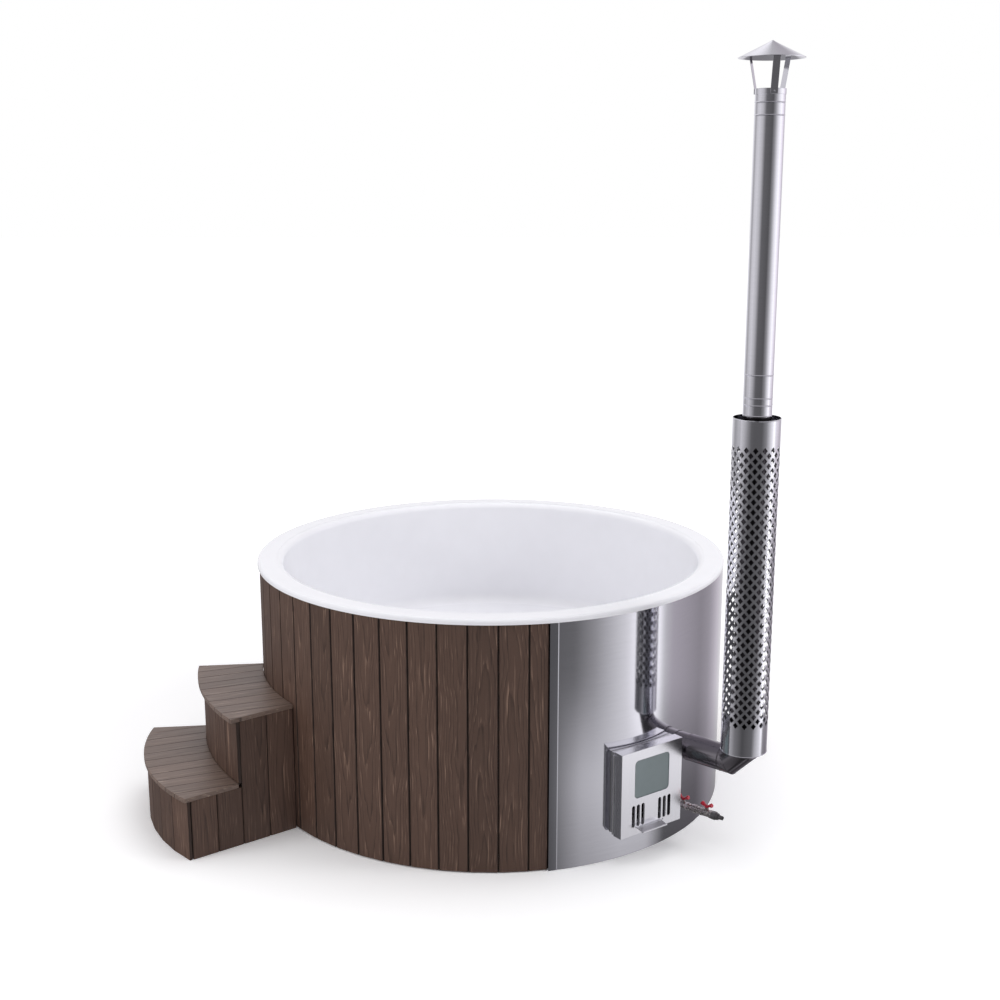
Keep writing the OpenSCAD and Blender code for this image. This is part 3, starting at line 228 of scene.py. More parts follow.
# Each finish: the material slot it stands for, what makes it, its name and its settings
FINISHES = {
    # Moulded white gelcoat: glossy, even, with the faint ripple of a mould
    "gelcoat": ("white_liner", mottled, "moulded_gelcoat", dict(
        tones=[(0.3, "gelcoat", 0.985), (0.7, "gelcoat", 1)], grain=0.09, detail=1,
        roughness=0.14, depth=0.0004, strength=0.25)),
    # Spruce board, planed and dark-stained: brown-grey with darker rings and pale fibres
    "board_wood": ("stained_wood", grained, "stained_board_wood", dict(
        tones=("stain_dark", "stain", "stain_light"), roughness=0.62, ring=0.0085,
        contrast=0.75, pool=0.0055, pooled=0.25)),
    # The same stain on the treads, weathered greyer and rubbed smoother by feet
    "tread_wood": ("weathered_wood", grained, "weathered_tread_wood", dict(
        tones=("tread_dark", "tread", "tread_light"), roughness=0.42, ring=0.009,
        contrast=0.6, pool=0.0022, pooled=0.42)),
    # Bare sawn spruce of the hidden frame: pale, with fibres along the service line
    "frame_wood": ("bare_wood", mottled, "bare_sawn_spruce", dict(
        tones=[(0.3, "#c9a878", 1), (0.7, "#a98555", 1)], grain=0.006, detail=3,
        roughness=0.8, depth=0.0006, strength=0.6, scale=(0.04, 1, 1), turn=-SERVICE_AZ)),
    # Rolled sheet with fine level brushing: mirrors softly, more blurred upwards than across
    "wall_steel": ("brushed_stainless", steel, "brushed_wall_sheet", dict(
        colour="wall_steel", roughness=0.09, line=0.0012, depth=0.00002, stretch=AROUND)),
    # The trims' sheet: as the wall's, a shade darker beside the boards
    "trim_steel": ("brushed_stainless", steel, "brushed_trim", dict(
        colour="#c8c8ce", roughness=0.12, line=0.0012, depth=0.00002, stretch=AROUND)),
    # Bright rolled pipe: a clear mirror with faint marks that run round it
    "pipe_steel": ("brushed_stainless", steel, "rolled_pipe_steel", dict(
        colour="pipe_steel", roughness=0.12, line=0.0015, depth=0.00003, stretch=ROUND_PIPE)),
    # Heat-tinted flue: the same pipe, a little darker, with clear streaks of light
    "flue_steel": ("brushed_stainless", steel, "heat_tinted_pipe", dict(
        colour="flue", roughness=0.17, line=0.0015, depth=0.00004, stretch=ROUND_PIPE)),
    # Pipe behind the guard: a darker, browner and duller copy of the pipe steel, as painted shade,
    # so the holes look dark
    "shade_painted_steel": ("brushed_stainless", steel, "fire_browned_pipe", dict(
        colour="sooted", roughness=0.28, line=0.0015, depth=0.00004, stretch=ROUND_PIPE)),
    # Satin door sheet, brushed upright: pale and even, with no clear mirror image
    "door_steel": ("brushed_stainless", steel, "satin_door_sheet", dict(
        colour="door_steel", roughness=0.24, line=0.001, depth=0.00003, stretch=UPWARD)),
    # Satin frame of the stove's mouth, and the air slide: as pale, with no mirror image at all
    "frame_steel": ("brushed_stainless", steel, "satin_mouth_frame", dict(
        colour="door_steel", roughness=0.45, line=0.001, depth=0.00003, stretch=UPWARD)),
    # Calcium-silicate fire board: chalky, pale grey-white
    "fibre_board": ("mineral_board", mottled, "chalky_fire_board", dict(
        tones=[(0.35, "#cbc7bb", 1), (0.65, "#d9d6cc", 1)], grain=0.01, detail=4,
        roughness=0.9, waver=0.2, depth=0.0003, strength=0.5)),
    # Heat-blackened firebox plate with grey soot
    "black_steel": ("black_steel", mottled, "sooty_firebox_plate", dict(
        tones=[(0.35, "#3f3d3c", 1), (0.65, "#2b2a2a", 1)], grain=0.02, detail=4,
        roughness=0.75, waver=0.2, depth=0.0004, strength=0.5)),
    # Raw cast grate: nearly black, grainy, faintly brown
    "cast_iron": ("cast_grate", mottled, "raw_cast_iron", dict(
        tones=[(0.3, "#3a3532", 0.75), (0.6, "#3a3532", 1)], grain=0.003, detail=2,
        roughness=0.7, waver=0.16, depth=0.0002, metal=1)),
    # Glass-fibre door rope: off-white, with 4 mm strands
    "gasket_rope": ("gasket_rope", mottled, "glass_fibre_rope", dict(
        tones=[(0.35, "#b5ad9c", 1), (0.65, "#d8d2c4", 1)], grain=0.004, detail=4,
        roughness=0.95, waver=0.2, depth=0.0012, strength=0.5)),
    # Ceramic stove glass seen against a dark stove: flat grey-green with a clear gloss
    "stove_glass": ("stove_glass", mottled, "ceramic_stove_glass", dict(
        tones=[(0.3, "glass", 0.94), (0.7, "glass", 1)], grain=0.06, detail=3, roughness=0.06)),
    # Red dip-coated handles: glossy, with a soft skin
    "red_enamel": ("red_handle", mottled, "red_dip_coating", dict(
        tones=[(0.3, "handle", 0.75), (0.6, "handle", 1)], grain=0.003, detail=2,
        roughness=0.25, depth=0.0002, coat=0.3)),
    # Nickel-plated brass of the valves: warm grey and bright on its edges, pitted by casting
    "nickel_brass": ("plated_brass", mottled, "nickel_plated_brass", dict(
        tones=[(0.3, "brass", 0.75), (0.6, "brass", 1)], grain=0.006, detail=2,
        roughness=0.27, waver=0.16, depth=0.0002, metal=1)),
    # Zinc-coated reducer and hose tail: flat blue-grey
    "zinc": ("zinc_steel", mottled, "zinc_coated_steel", dict(
        tones=[(0.3, "zinc", 0.75), (0.6, "zinc", 1)], grain=0.004, detail=2,
        roughness=0.42, waver=0.16, depth=0.0002, metal=1)),
}
made = {}


def finish(kind):
    """The material of a finish, made on first use."""
    if kind not in made:
        maker, name, settings = FINISHES[kind][1:]
        made[kind] = maker(name, **settings)
    return made[kind]


# Shapes


def at(azimuth, x=0.0, y=0.0, z=0.0):
    """Place in a frame turned to an azimuth: x is outward, y is to the left of outward."""
    return Matrix.Rotation(radians(azimuth), 4, "Z") @ Matrix.Translation((x, y, z))


def polar(r, angle, z=0.0):
    """The point at a distance from the Z axis and an angle round it, in radians."""
    return Vector((r * cos(angle), r * sin(angle), z))


def arc(x, y, r, start, end, steps):
    """Points on an arc, from one angle to another, in degrees."""
    angles = [radians(start + (end - start) * i / steps) for i in range(steps + 1)]
    return [(x + r * cos(t), y + r * sin(t)) for t in angles]


def turns(count):
    """Equal steps round a circle, in radians."""
    return [2 * pi * i / count for i in range(count)]


def loft(bm, rings, closed=True):
    """Skins a row of vertex rings, back to the first or with a lid at each end. A ring of one
    vertex closes a pole."""
    for low, high in zip(rings, rings[1:] + rings[:1] if closed else rings[1:]):
        count = max(len(low), len(high))
        for i in range(count):
            j = (i + 1) % count
            corners = dict.fromkeys((low[i % len(low)], low[j % len(low)],
                                     high[j % len(high)], high[i % len(high)]))
            if len(corners) > 2:
                bm.faces.new(tuple(corners))
    if not closed:
        bm.faces.new(rings[0][::-1])
        bm.faces.new(rings[-1])


def spun(bm, profile, segments, place):
    """Turns a closed profile of (distance, height) about the Z axis of a place."""
    loft(bm, [[bm.verts.new(place @ polar(r, t, h)) for t in turns(segments if r else 1)]
              for r, h in profile])


def raised(bm, outline, height, place):
    """Raises a closed outline of (x, y) by a height."""
    loft(bm, [[bm.verts.new(place @ Vector((x, y, z))) for x, y in outline]
              for z in (0, height)], closed=False)


def wire(bm, path, r):
    """A round wire of radius r along a closed path of points."""
    rings = []
    for i, point in enumerate(path):
        along = (path[(i + 1) % len(path)] - path[i - 1]).normalized()
        side = along.cross(Vector((0.13, 0.21, 0.97))).normalized()
        up = along.cross(side)
        rings.append([bm.verts.new(point + r * (cos(t) * side + sin(t) * up))
                      for t in turns(6)])
    loft(bm, rings)


def bar(x0, x1, r, segments, place):
    """A closed round bar along x."""
    bm = bmesh.new()
    spun(bm, [(0, x0), (r, x0), (r, x1), (0, x1)], segments, place @ X_AXIS)
    return bm


def box(low, high, place):
    """A closed block between two corners."""
    bm = bmesh.new()
    outline = [(low[0], low[1]), (high[0], low[1]), (high[0], high[1]), (low[0], high[1])]
    raised(bm, outline, high[2] - low[2], place @ Matrix.Translation((0, 0, low[2])))
    return bm


def ease(bm, width, angle=30.0, segments=2, along=None, wide=0.0):
    """Rounds the sharp edges and leaves the flat faces flat. Edges that run along a direction
    first get a wide, flat bevel."""

    def sharp(limit):
        return [e for e in bm.edges
                if e.is_manifold and e.calc_face_angle(0.0) > radians(limit)]

    for face in bm.faces:
        face.smooth = False
    if along:
        long = [e for e in sharp(angle)
                if abs((e.verts[0].co - e.verts[1].co).normalized().dot(along)) > 0.99]
        bmesh.ops.bevel(bm, geom=long, offset=wide, segments=1, affect="EDGES", clamp_overlap=True)
        angle = 50.0
    done = bmesh.ops.bevel(bm, geom=sharp(angle), offset=width, segments=segments, profile=0.5,
                           affect="EDGES", clamp_overlap=True)
    for face in done["faces"]:
        face.smooth = True


def copied(node):
    """A merged copy of a CAD node's mesh, with its flat faces whole."""
    bm = bmesh.new()
    bm.from_mesh(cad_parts[node].data)
    bmesh.ops.remove_doubles(bm, verts=bm.verts, dist=1e-6)
    bmesh.ops.dissolve_limit(bm, angle_limit=radians(0.4), verts=bm.verts, edges=bm.edges)
    return bm


def islands(bm):
    """The loose parts of a mesh, as lists of vertices in order of place."""
    left = set(bm.verts)
    found = []
    while left:
        stack = [left.pop()]
        part = []
        while stack:
            vert = stack.pop()
            part.append(vert)
            for edge in vert.link_edges:
                other = edge.other_vert(vert)
                if other in left:
                    left.remove(other)
                    stack.append(other)
        # A set's order changes from run to run, and the sums in set_grain depend on it
        found.append(sorted(part, key=lambda vert: vert.co[:]))
    return sorted(found, key=lambda part: tuple(round(c, 4) for c in part[0].co))


def set_grain(bm, along, seed, capped):
    """Gives each board its own grain coordinates along a direction, its half width and its tone.
    A capped row has no groove on its first and last boards, whose outer edges show. Other rows
    turn corners, so their grooves are narrower."""
    grain = bm.verts.layers.float_vector.new("grain")
    tone = bm.verts.layers.float.new("tone")
    width = bm.verts.layers.float.new("half")
    dice = random.Random(seed)
    parts = islands(bm)
    middle = Vector((0, 0, 1)).cross(along) if capped else None
    spread = [sum(v.co.dot(middle) for v in part) / len(part) for part in parts] if capped else []
    trim = 0.0 if capped else 0.0028
    for number, part in enumerate(parts):
        centre = sum((v.co for v in part), Vector()) / len(part)
        flat = [(v.co - centre) - (v.co - centre).dot(along) * along for v in part]
        across = max(flat, key=lambda d: d.length).normalized()
        # The widest direction across the board, refined once so that corners don't tilt it
        across = sum((d * d.dot(across) for d in flat), Vector()).normalized()
        deep = along.cross(across)
        reach = [(v.co - centre).dot(across) for v in part]
        half, mid = (max(reach) - min(reach)) / 2, (max(reach) + min(reach)) / 2
        if capped and spread[number] in (min(spread), max(spread)):
            half = 1.0
        pick = dice.random()
        for vert, place in zip(part, reach):
            vert[grain] = Vector((place - mid, (vert.co - centre).dot(deep), vert.co.dot(along)))
            vert[tone] = pick
            vert[width] = half + trim


def loose(bm, name):
    """Puts a mesh into the scene as an object."""
    mesh = bpy.data.meshes.new(name)
    bm.to_mesh(mesh)
    bm.free()
    obj = bpy.data.objects.new(name, mesh)
    bpy.context.scene.collection.objects.link(obj)
    return obj


def settled(*objects):
    """The mesh that the first object's modifiers make. All the objects are then deleted."""
    bpy.context.view_layer.update()
    ready = objects[0].evaluated_get(bpy.context.evaluated_depsgraph_get())
    bm = bmesh.new()
    bm.from_mesh(bpy.data.meshes.new_from_object(ready))
    for obj in objects:
        bpy.data.objects.remove(obj)
    if not bm.faces:
        raise RuntimeError("a mesh came out empty")
    return bm


def join(bm, other):
    """Adds another mesh to a mesh."""
    mesh = bpy.data.meshes.new("joined")
    other.to_mesh(mesh)
    other.free()
    bm.from_mesh(mesh)


def piece(name, bm, kind, nodes, body="tub", sharp=35.0, recalc=True):
    """Turns a mesh into a finished piece that rides on a body and stands for CAD nodes."""
    if recalc:
        bmesh.ops.recalc_face_normals(bm, faces=bm.faces)
    obj = loose(bm, name)
    if sharp:
        obj.data.shade_smooth()
        obj.data.set_sharp_from_angle(angle=radians(sharp))
    obj.data.materials.append(finish(kind))
    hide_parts(*nodes)
    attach(obj, body)
    return obj


def eased(name, node, kind, width, body="tub"):
    """Makes a piece in a CAD node's own shape, with its sharp edges rounded."""
    bm = copied(node)
    ease(bm, width)
    piece(name, bm, kind, [node], body, sharp=None)


def keep(kind, *nodes):
    """Gives CAD nodes that keep their shape the material of a finish."""
    for node in nodes:
        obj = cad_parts[node]
        obj.data.materials.clear()
        obj.data.materials.append(finish(kind))


def ring_tree():
    """Repeats a part round an upright axis and up it, each copy with a tone of its own."""
    tree = bpy.data.node_groups.new("ring_of_parts", "GeometryNodeTree")
    names = {}
    for name, kind in (("Part", "Object"), ("Around", "Int"), ("Rows", "Int"), ("Start", "Float"),
                       ("Step", "Float"), ("Axis", "Vector"), ("Rise", "Float"),
                       ("Material", "Material"), ("Seed", "Int")):
        names[name] = tree.interface.new_socket(
            name, in_out="INPUT", socket_type="NodeSocket" + kind).identifier
    tree.interface.new_socket("Mesh", in_out="OUTPUT", socket_type="NodeSocketGeometry")
    node = partial(add, tree)
    ins = node("NodeGroupInput", out=None)
    index = node("GeometryNodeInputIndex")
    column = node("Math", [index, ins["Around"]], operation="MODULO")
    row = node("Math", [node("Math", [index, ins["Around"]], operation="DIVIDE")],
               operation="FLOOR")
    count = node("Math", [ins["Around"], ins["Rows"]], operation="MULTIPLY")
    lift = node("CombineXYZ", {2: node("Math", [row, ins["Rise"]], operation="MULTIPLY")})
    place = node("VectorMath", [ins["Axis"], lift], operation="ADD")
    points = node("GeometryNodePoints", {"Count": count, "Position": place})
    angle = node("Math", [column, ins["Step"], ins["Start"]], operation="MULTIPLY_ADD")
    turn = node("FunctionNodeEulerToRotation", [node("CombineXYZ", {2: angle})])
    part = node("GeometryNodeObjectInfo", {"Object": ins["Part"]}, out="Geometry")
    copies = node("GeometryNodeInstanceOnPoints",
                  {"Points": points, "Instance": part, "Rotation": turn})
    dice = node("FunctionNodeRandomValue", {"Seed": ins["Seed"], "ID": index}, out=1,
                data_type="FLOAT")
    toned = node("GeometryNodeStoreNamedAttribute",
                 {"Geometry": copies, "Name": "tone", "Value": dice},
                 data_type="FLOAT", domain="INSTANCE")
    real = node("GeometryNodeRealizeInstances", [toned])
    painted = node("GeometryNodeSetMaterial", {0: real, "Material": ins["Material"]})
    node("NodeGroupOutput", [painted], out=None)
    return tree, names


def ringed(part, kind, around, start, step, rows=1, rise=0.0, axis=(0, 0, 0), seed=1):
    """Repeats the mesh `part` with the ring tree and returns the result as one plain mesh."""
    if "ring" not in made:
        made["ring"] = ring_tree()
    tree, names = made["ring"]
    source, host = loose(part, "part"), loose(bmesh.new(), "host")
    modifier = host.modifiers.new("ring", "NODES")
    modifier.node_group = tree
    values = {"Part": source, "Around": around, "Rows": rows, "Start": radians(start),
              "Step": radians(step), "Axis": axis, "Rise": rise, "Material": finish(kind),
              "Seed": seed}
    for name, value in values.items():
        modifier[names[name]] = value
    return settled(host, source)


def cut(*shapes):
    """Takes closed meshes out of the first one and returns what is left."""
    for shape in shapes:
        bmesh.ops.recalc_face_normals(shape, faces=shape.faces)
    whole, *tools = [loose(shape, "cut") for shape in shapes]
    for tool in tools:
        modifier = whole.modifiers.new("cut", "BOOLEAN")
        modifier.operation = "DIFFERENCE"
        modifier.solver = "EXACT"
        modifier.object = tool
    return settled(whole, *tools)


def round_normals(obj, radii):
    """Gives faces on upright cylinders of the given radii the cylinder's own normals."""
    mesh = obj.data
    normals = []
    for poly in mesh.polygons:
        for index in poly.loop_indices:
            co = mesh.vertices[mesh.loops[index].vertex_index].co
            out = Vector((co.x, co.y, 0))
            near = min(abs(out.length - r) for r in radii) < 0.0002
            out.normalize()
            side = poly.normal.dot(out)
            normals.append(out * (1 if side > 0 else -1) if near and abs(side) > 0.8
                           else poly.normal.copy())
    mesh.normals_split_custom_set(normals)


# Sizes and colours that a user would change


def length(name, words, default):
    """A length in metres."""
    return FloatProperty(name=name, description=words, default=default, unit="LENGTH",
                         subtype="DISTANCE")


def colour_property(name, words, code):
    """A colour kept as an sRGB hex code."""
    return StringProperty(name=name, description=words, default=code)


class TubSizes(PropertyGroup):
    """Lengths and counts"""

    rim_out: length("Rim radius", "Outer radius of the rim", 1.008)
    rim_width: length("Rim width", "Width of the rim", 0.110)
    seat_z: length("Seat height", "Height of the bench", 0.520)
    footwell_r: length("Footwell radius", "Radius of the footwell", 0.560)
    board_bevel: length("Board bevel", "Bevel on a board's long edges", 0.0045)
    boards: IntProperty(name="Boards", description="Full boards round the tub", default=41)
    guard_around: IntProperty(name="Guard holes around", description="Diamonds in one ring",
                              default=16)
    guard_rows: IntProperty(name="Guard rows", description="Rings of diamonds", default=29)
    diamond_w: length("Diamond width", "Width of one hole", 0.0205)
    diamond_h: length("Diamond height", "Height of one hole", 0.0250)
    edge: length("Wood edge", "Rounding of the stair boards' edges", 0.0016)
    seam: length("Weld seam", "Radius of the seams on the flue", 0.0009)


class TubColours(PropertyGroup):
    """Colours of the finishes"""

    stain_dark: colour_property("Stain, dark", "Late rings of the cladding", "#382820")
    stain: colour_property("Stain", "Middle tone of the cladding", "#574136")
    stain_light: colour_property("Stain, light", "Pale fibres of the cladding", "#947765")
    tread_dark: colour_property("Tread, dark", "Late rings of the treads", "#4e3f38")
    tread: colour_property("Tread", "Middle tone of the treads", "#6e5c52")
    tread_light: colour_property("Tread, light", "Pale fibres of the treads", "#9f8c7e")
    gelcoat: colour_property("Gelcoat", "The liner", "#efeff3")
    wall_steel: colour_property("Wall sheet", "Stainless sheet", "#e4e4ea")
    pipe_steel: colour_property("Pipes", "Chimney and flue", "#ececf2")
    flue: colour_property("Flue", "Heat-tinted flue and elbow", "#8d898f")
    # Darker than the pipes: painted shade for the pipe behind the guard
    sooted: colour_property("Inner pipe", "Pipe behind the guard", "#5c585d")
    door_steel: colour_property("Door", "Stove door", "#f4f4f8")
    glass: colour_property("Window", "Stove glass", "#7c888a")
    handle: colour_property("Handles", "Valve handles", "#b3122e")
    brass: colour_property("Valves", "Plated valve bodies", "#c6c0bf")
    zinc: colour_property("Hose tail", "Reducer and hose tail", "#8d8a8c")


# Pieces


class TUB_OT_liner(Operator):
    """Makes the moulded liner with its rim, bench and footwell"""

    bl_idname = "tub.liner"
    bl_label = "Liner"

    def execute(self, context):
        size = context.scene.tub_sizes
        wall = 0.006
        lip, floor_z, roll, seat_round, nose, floor_round = 0.012, 0.176, 0.028, 0.045, 0.035, 0.060
        top = TUB_H + 0.022
        basin = size.rim_out - size.rim_width
        foot = basin - 0.028
        seat, well = size.seat_z, size.footwell_r
        # The rim's top is a little crowned, as moulded rims are
        crown = [(size.rim_out - size.rim_width * k, top - 0.0015 + 0.0015 * sin(pi * k))
                 for k in (0.25, 0.5, 0.75)]
        outer = ([(size.rim_out - wall, TUB_H), (size.rim_out - 0.0008, TUB_H),
                  (size.rim_out, TUB_H + 0.001)]
                 + arc(size.rim_out - lip, top - 0.0015 - lip, lip, 0, 90, 10) + crown
                 + arc(basin + roll, top - 0.0015 - roll, roll, 90, 180, 10)
                 + arc(foot - seat_round, seat + seat_round, seat_round, 0, -90, 12)
                 + arc(well + nose, seat - nose, nose, 90, 180, 12)
                 + arc(well - floor_round, floor_z + floor_round, floor_round, 0, -90, 12)
                 + [(0.35, floor_z - 0.0005), (0.12, floor_z - 0.001), (0, floor_z - 0.001)])
        inner = ([(0, floor_z - wall)]
                 + arc(well - floor_round, floor_z + floor_round, floor_round + wall, -90, 0, 12)
                 + arc(well + nose, seat - nose, nose - wall, 180, 90, 12)
                 + arc(foot - seat_round, seat + seat_round, seat_round + wall, -90, 0, 12)
                 + arc(basin + roll, top - 0.0015 - roll, roll - wall, 180, 90, 10)
                 + arc(size.rim_out - lip, top - 0.0015 - lip, lip - wall, 90, 0, 10))
        bm = bmesh.new()
        spun(bm, outer + inner, 240, Matrix())
        return_bore, drain_bore, flange_r = 0.0213, 0.0203, 0.038
        holes = [bar(0.50, 0.62, return_bore, 32, at(DOOR_AZ, z=z)) for z in RETURNS_Z]
        drain = bmesh.new()
        spun(drain, [(0, 0.16), (drain_bore, 0.16), (drain_bore, 0.19), (0, 0.19)], 32,
             at(SERVICE_AZ, 0.25))
        piece("basin_shell", cut(bm, *holes, drain), "gelcoat", ["liner"])
        # The flanges sit flat against the footwell's curved wall
        face = sqrt(well ** 2 - flange_r ** 2) - 0.0003
        flanges = bmesh.new()
        for z in RETURNS_Z:
            spun(flanges, [(0.0173, face), (0.0173, face - 0.008), (0.024, face - 0.0085)]
                 + arc(flange_r - 0.004, face - 0.0045, 0.004, 260, 360, 5) + [(flange_r, face)],
                 48, at(DOOR_AZ, z=z) @ X_AXIS)
        piece("return_fittings", flanges, "pipe_steel", ["circulation_flanges"])
        eased("floor_drain_cover", "floor_drain", "pipe_steel", 0.0004)
        return {"FINISHED"}


def clad_board(half_angle, bevel, height):
    """One bevelled board that faces +X, with its grain coordinates."""
    slope = tan(radians(half_angle))
    half = lambda x: x * slope - 0.0003
    r_in, r_side = TUB_R - 0.020, TUB_R - bevel
    face = half(TUB_R) - bevel
    side = [(r_in, half(r_in)), (r_side - 0.0006, half(r_side) - 0.0001),
            (r_side, half(r_side) - 0.0003), (TUB_R - 0.0006, face + 0.0006),
            (TUB_R - 0.0002, face + 0.0001), (TUB_R, face - 0.0005)]
    bm = bmesh.new()
    raised(bm, [(x, -y) for x, y in side] + side[::-1], height, Matrix.Translation((0, 0, 0.005)))
    grain = bm.verts.layers.float_vector.new("grain")
    width = bm.verts.layers.float.new("half")
    for vert in bm.verts:
        vert[grain] = Vector((vert.co.y, vert.co.x - TUB_R, vert.co.z))
        vert[width] = face + bevel
    return bm


class TUB_OT_cladding(Operator):
    """Sets the stained boards round the wall, with one ripped board beside the steel"""

    bl_idname = "tub.cladding"
    bl_label = "Cladding"

    def execute(self, context):
        size = context.scene.tub_sizes
        ripped = 4.4
        step = (360 - (STEEL_AZ[1] - STEEL_AZ[0]) - ripped) / size.boards
        height = TUB_H - 0.005 - 0.0005
        full = ringed(clad_board(step / 2, size.board_bevel, height), "board_wood", size.boards,
                      STEEL_AZ[0] - ripped - step / 2, -step, seed=11)
        join(full, ringed(clad_board(ripped / 2, size.board_bevel, height), "board_wood", 1,
                          STEEL_AZ[0] - ripped / 2, 0, seed=5))
        piece("wall_boards", full, "board_wood", ["cladding_boards"], sharp=12)
        return {"FINISHED"}


def curved(bm, plan, low, high, steps):
    """Raises a plan of (azimuth, radius) points between two heights. The plan goes out along
    its outer side and back along its inner side, `steps` points each."""
    lower, upper = [[bm.verts.new(polar(r, radians(a), z)) for a, r in plan]
                    for z in (low, high)]
    count = len(plan)
    for i in range(count):
        j = (i + 1) % count
        bm.faces.new((lower[i], lower[j], upper[j], upper[i]))
    for i in range(steps - 1):
        a, b, c, d = i, i + 1, count - 2 - i, count - 1 - i
        bm.faces.new((lower[a], lower[d], lower[c], lower[b]))
        bm.faces.new((upper[a], upper[b], upper[c], upper[d]))


class TUB_OT_steel_side(Operator):
    """Bends the stainless sheet and its two trims round the rest of the wall"""

    bl_idname = "tub.steel_side"
    bl_label = "Steel side"

    def execute(self, context):
        leg = degrees(SHEET / STEEL_R)
        start, end = STEEL_AZ[0] + leg + 0.1, STEEL_AZ[1] - leg - 0.1
        steps = 169
        around = [start + (end - start) * i / (steps - 1) for i in range(steps)]
        bm = bmesh.new()
        curved(bm, [(a, STEEL_R) for a in around] + [(a, STEEL_R - SHEET) for a in around[::-1]],
               STEEL_FOOT, STEEL_TOP, steps)
        door_half, door_foot, door_top = 0.1535, 0.120, 0.4585
        door = box((0.90, -door_half, door_foot), (1.1, door_half, door_top), at(DOOR_AZ))
        flue_bore, drain_bore = 0.0525, 0.01495
        flue = bar(0.9, 1.1, flue_bore, 64, at(SERVICE_AZ, z=FLUE_Z))
        drain = bar(0.9, 1.1, drain_bore, 32, at(SERVICE_AZ, z=DRAIN_Z))
        sheet = piece("wall_sheet", cut(bm, door, flue, drain), "wall_steel", ["steel_wall"],
                      sharp=None, recalc=False)
        round_normals(sheet, (STEEL_R, STEEL_R - SHEET))
        # Angle trims: a face over each end of the sheet and a leg that turns in beside the boards
        bm = bmesh.new()
        face = degrees(0.035 / STEEL_R)
        r_out, r_in = STEEL_R + SHEET, TUB_R - 0.0185
        for origin, sign in ((STEEL_AZ[0], 1), (STEEL_AZ[1], -1)):
            # The free edge slopes down over 4 mm, and catches the light as a bright line
            flat = [(face * 0.886 * i / 6, r_out) for i in range(7)] + [(face, STEEL_R + 0.0002)]
            back = [(face * (6 - i) / 6, STEEL_R) for i in range(6)]
            plan = flat + back + [(leg, STEEL_R), (leg, r_in), (0, r_in)]
            points = [polar(r, radians(origin + sign * a))[:2] for a, r in plan]
            raised(bm, points, STEEL_TOP - STEEL_FOOT, Matrix.Translation((0, 0, STEEL_FOOT)))
        bmesh.ops.recalc_face_normals(bm, faces=bm.faces)
        ease(bm, 0.0006, 40)
        piece("sheet_trims", bm, "trim_steel", ["wall_trims"], sharp=None)
        return {"FINISHED"}


class TUB_OT_tub_frame(Operator):
    """Finishes the hidden frame, floor and fire board"""

    bl_idname = "tub.tub_frame"
    bl_label = "Frame and floor"

    def execute(self, context):
        keep("frame_wood", "rim_ring", "top_hoop", "middle_hoop", "bottom_hoop", "frame_posts",
             "floor_joists", "floor_deck", "floor_bearers")
        keep("fibre_board", "fire_board")
        return {"FINISHED"}


class TUB_OT_stove(Operator):
    """Finishes the stove's body and its frame in the wall"""

    bl_idname = "tub.stove"
    bl_label = "Stove body"

    def execute(self, context):
        keep("pipe_steel", "stove_jacket", "smoke_box", "circulation_pipes", "hinge_pin")
        keep("black_steel", "firebox")
        keep("cast_iron", "fire_grate")
        eased("stove_mouth_frame", "door_frame", "frame_steel", 0.0006)
        eased("frame_hinge_plate", "hinge_leaf_frame", "door_steel", 0.0003)
        return {"FINISHED"}


class TUB_OT_stove_door(Operator):
    """Makes the stove door with its window, air slots, gasket and guides"""

    bl_idname = "tub.stove_door"
    bl_label = "Stove door"

    def execute(self, context):
        for name, node, kind, width in (
                ("door_sheet", "door_front", "door_steel", 0.0007),
                ("door_box", "door_pan", "door_steel", 0.0007),
                ("door_hinge_plate", "hinge_leaf_door", "door_steel", 0.0003),
                ("window_holder", "glass_retainer", "door_steel", 0.0003),
                ("slide_rails", "slide_guides", "door_steel", 0.0003),
                ("window_pane", "window_glass", "stove_glass", 0.0008),
                ("door_rope", "door_gasket", "gasket_rope", 0.0012)):
            eased(name, node, kind, width, "stove_door")
        keep("door_steel", "retainer_screws")
        return {"FINISHED"}


class TUB_OT_air_slide(Operator):
    """Makes the slide behind the air slots, with its lip"""

    bl_idname = "tub.air_slide"
    bl_label = "Air slide"

    def execute(self, context):
        eased("air_slide_plate", "air_slide", "frame_steel", 0.0005, "air_slide")
        return {"FINISHED"}


def tube(bm, radius, wall, low, high, place, segments=96, beads=()):
    """A pipe along the Z axis of a place, with rolled beads (height, size) on its outside."""
    outside = [(radius - 0.0004, low), (radius, low + 0.0004)]
    for height, size in sorted(beads):
        outside += [(radius + out * size, height + up * size) for out, up in (
            (0, -2.6), (-0.8, -1.9), (-0.8, -1.2), (0.8, -0.6), (1, 0), (0.8, 0.6), (0, 1.6))]
    outside += [(radius, high - 0.0004), (radius - 0.0004, high)]
    spun(bm, outside + [(radius - wall, high), (radius - wall, low)], segments, place)


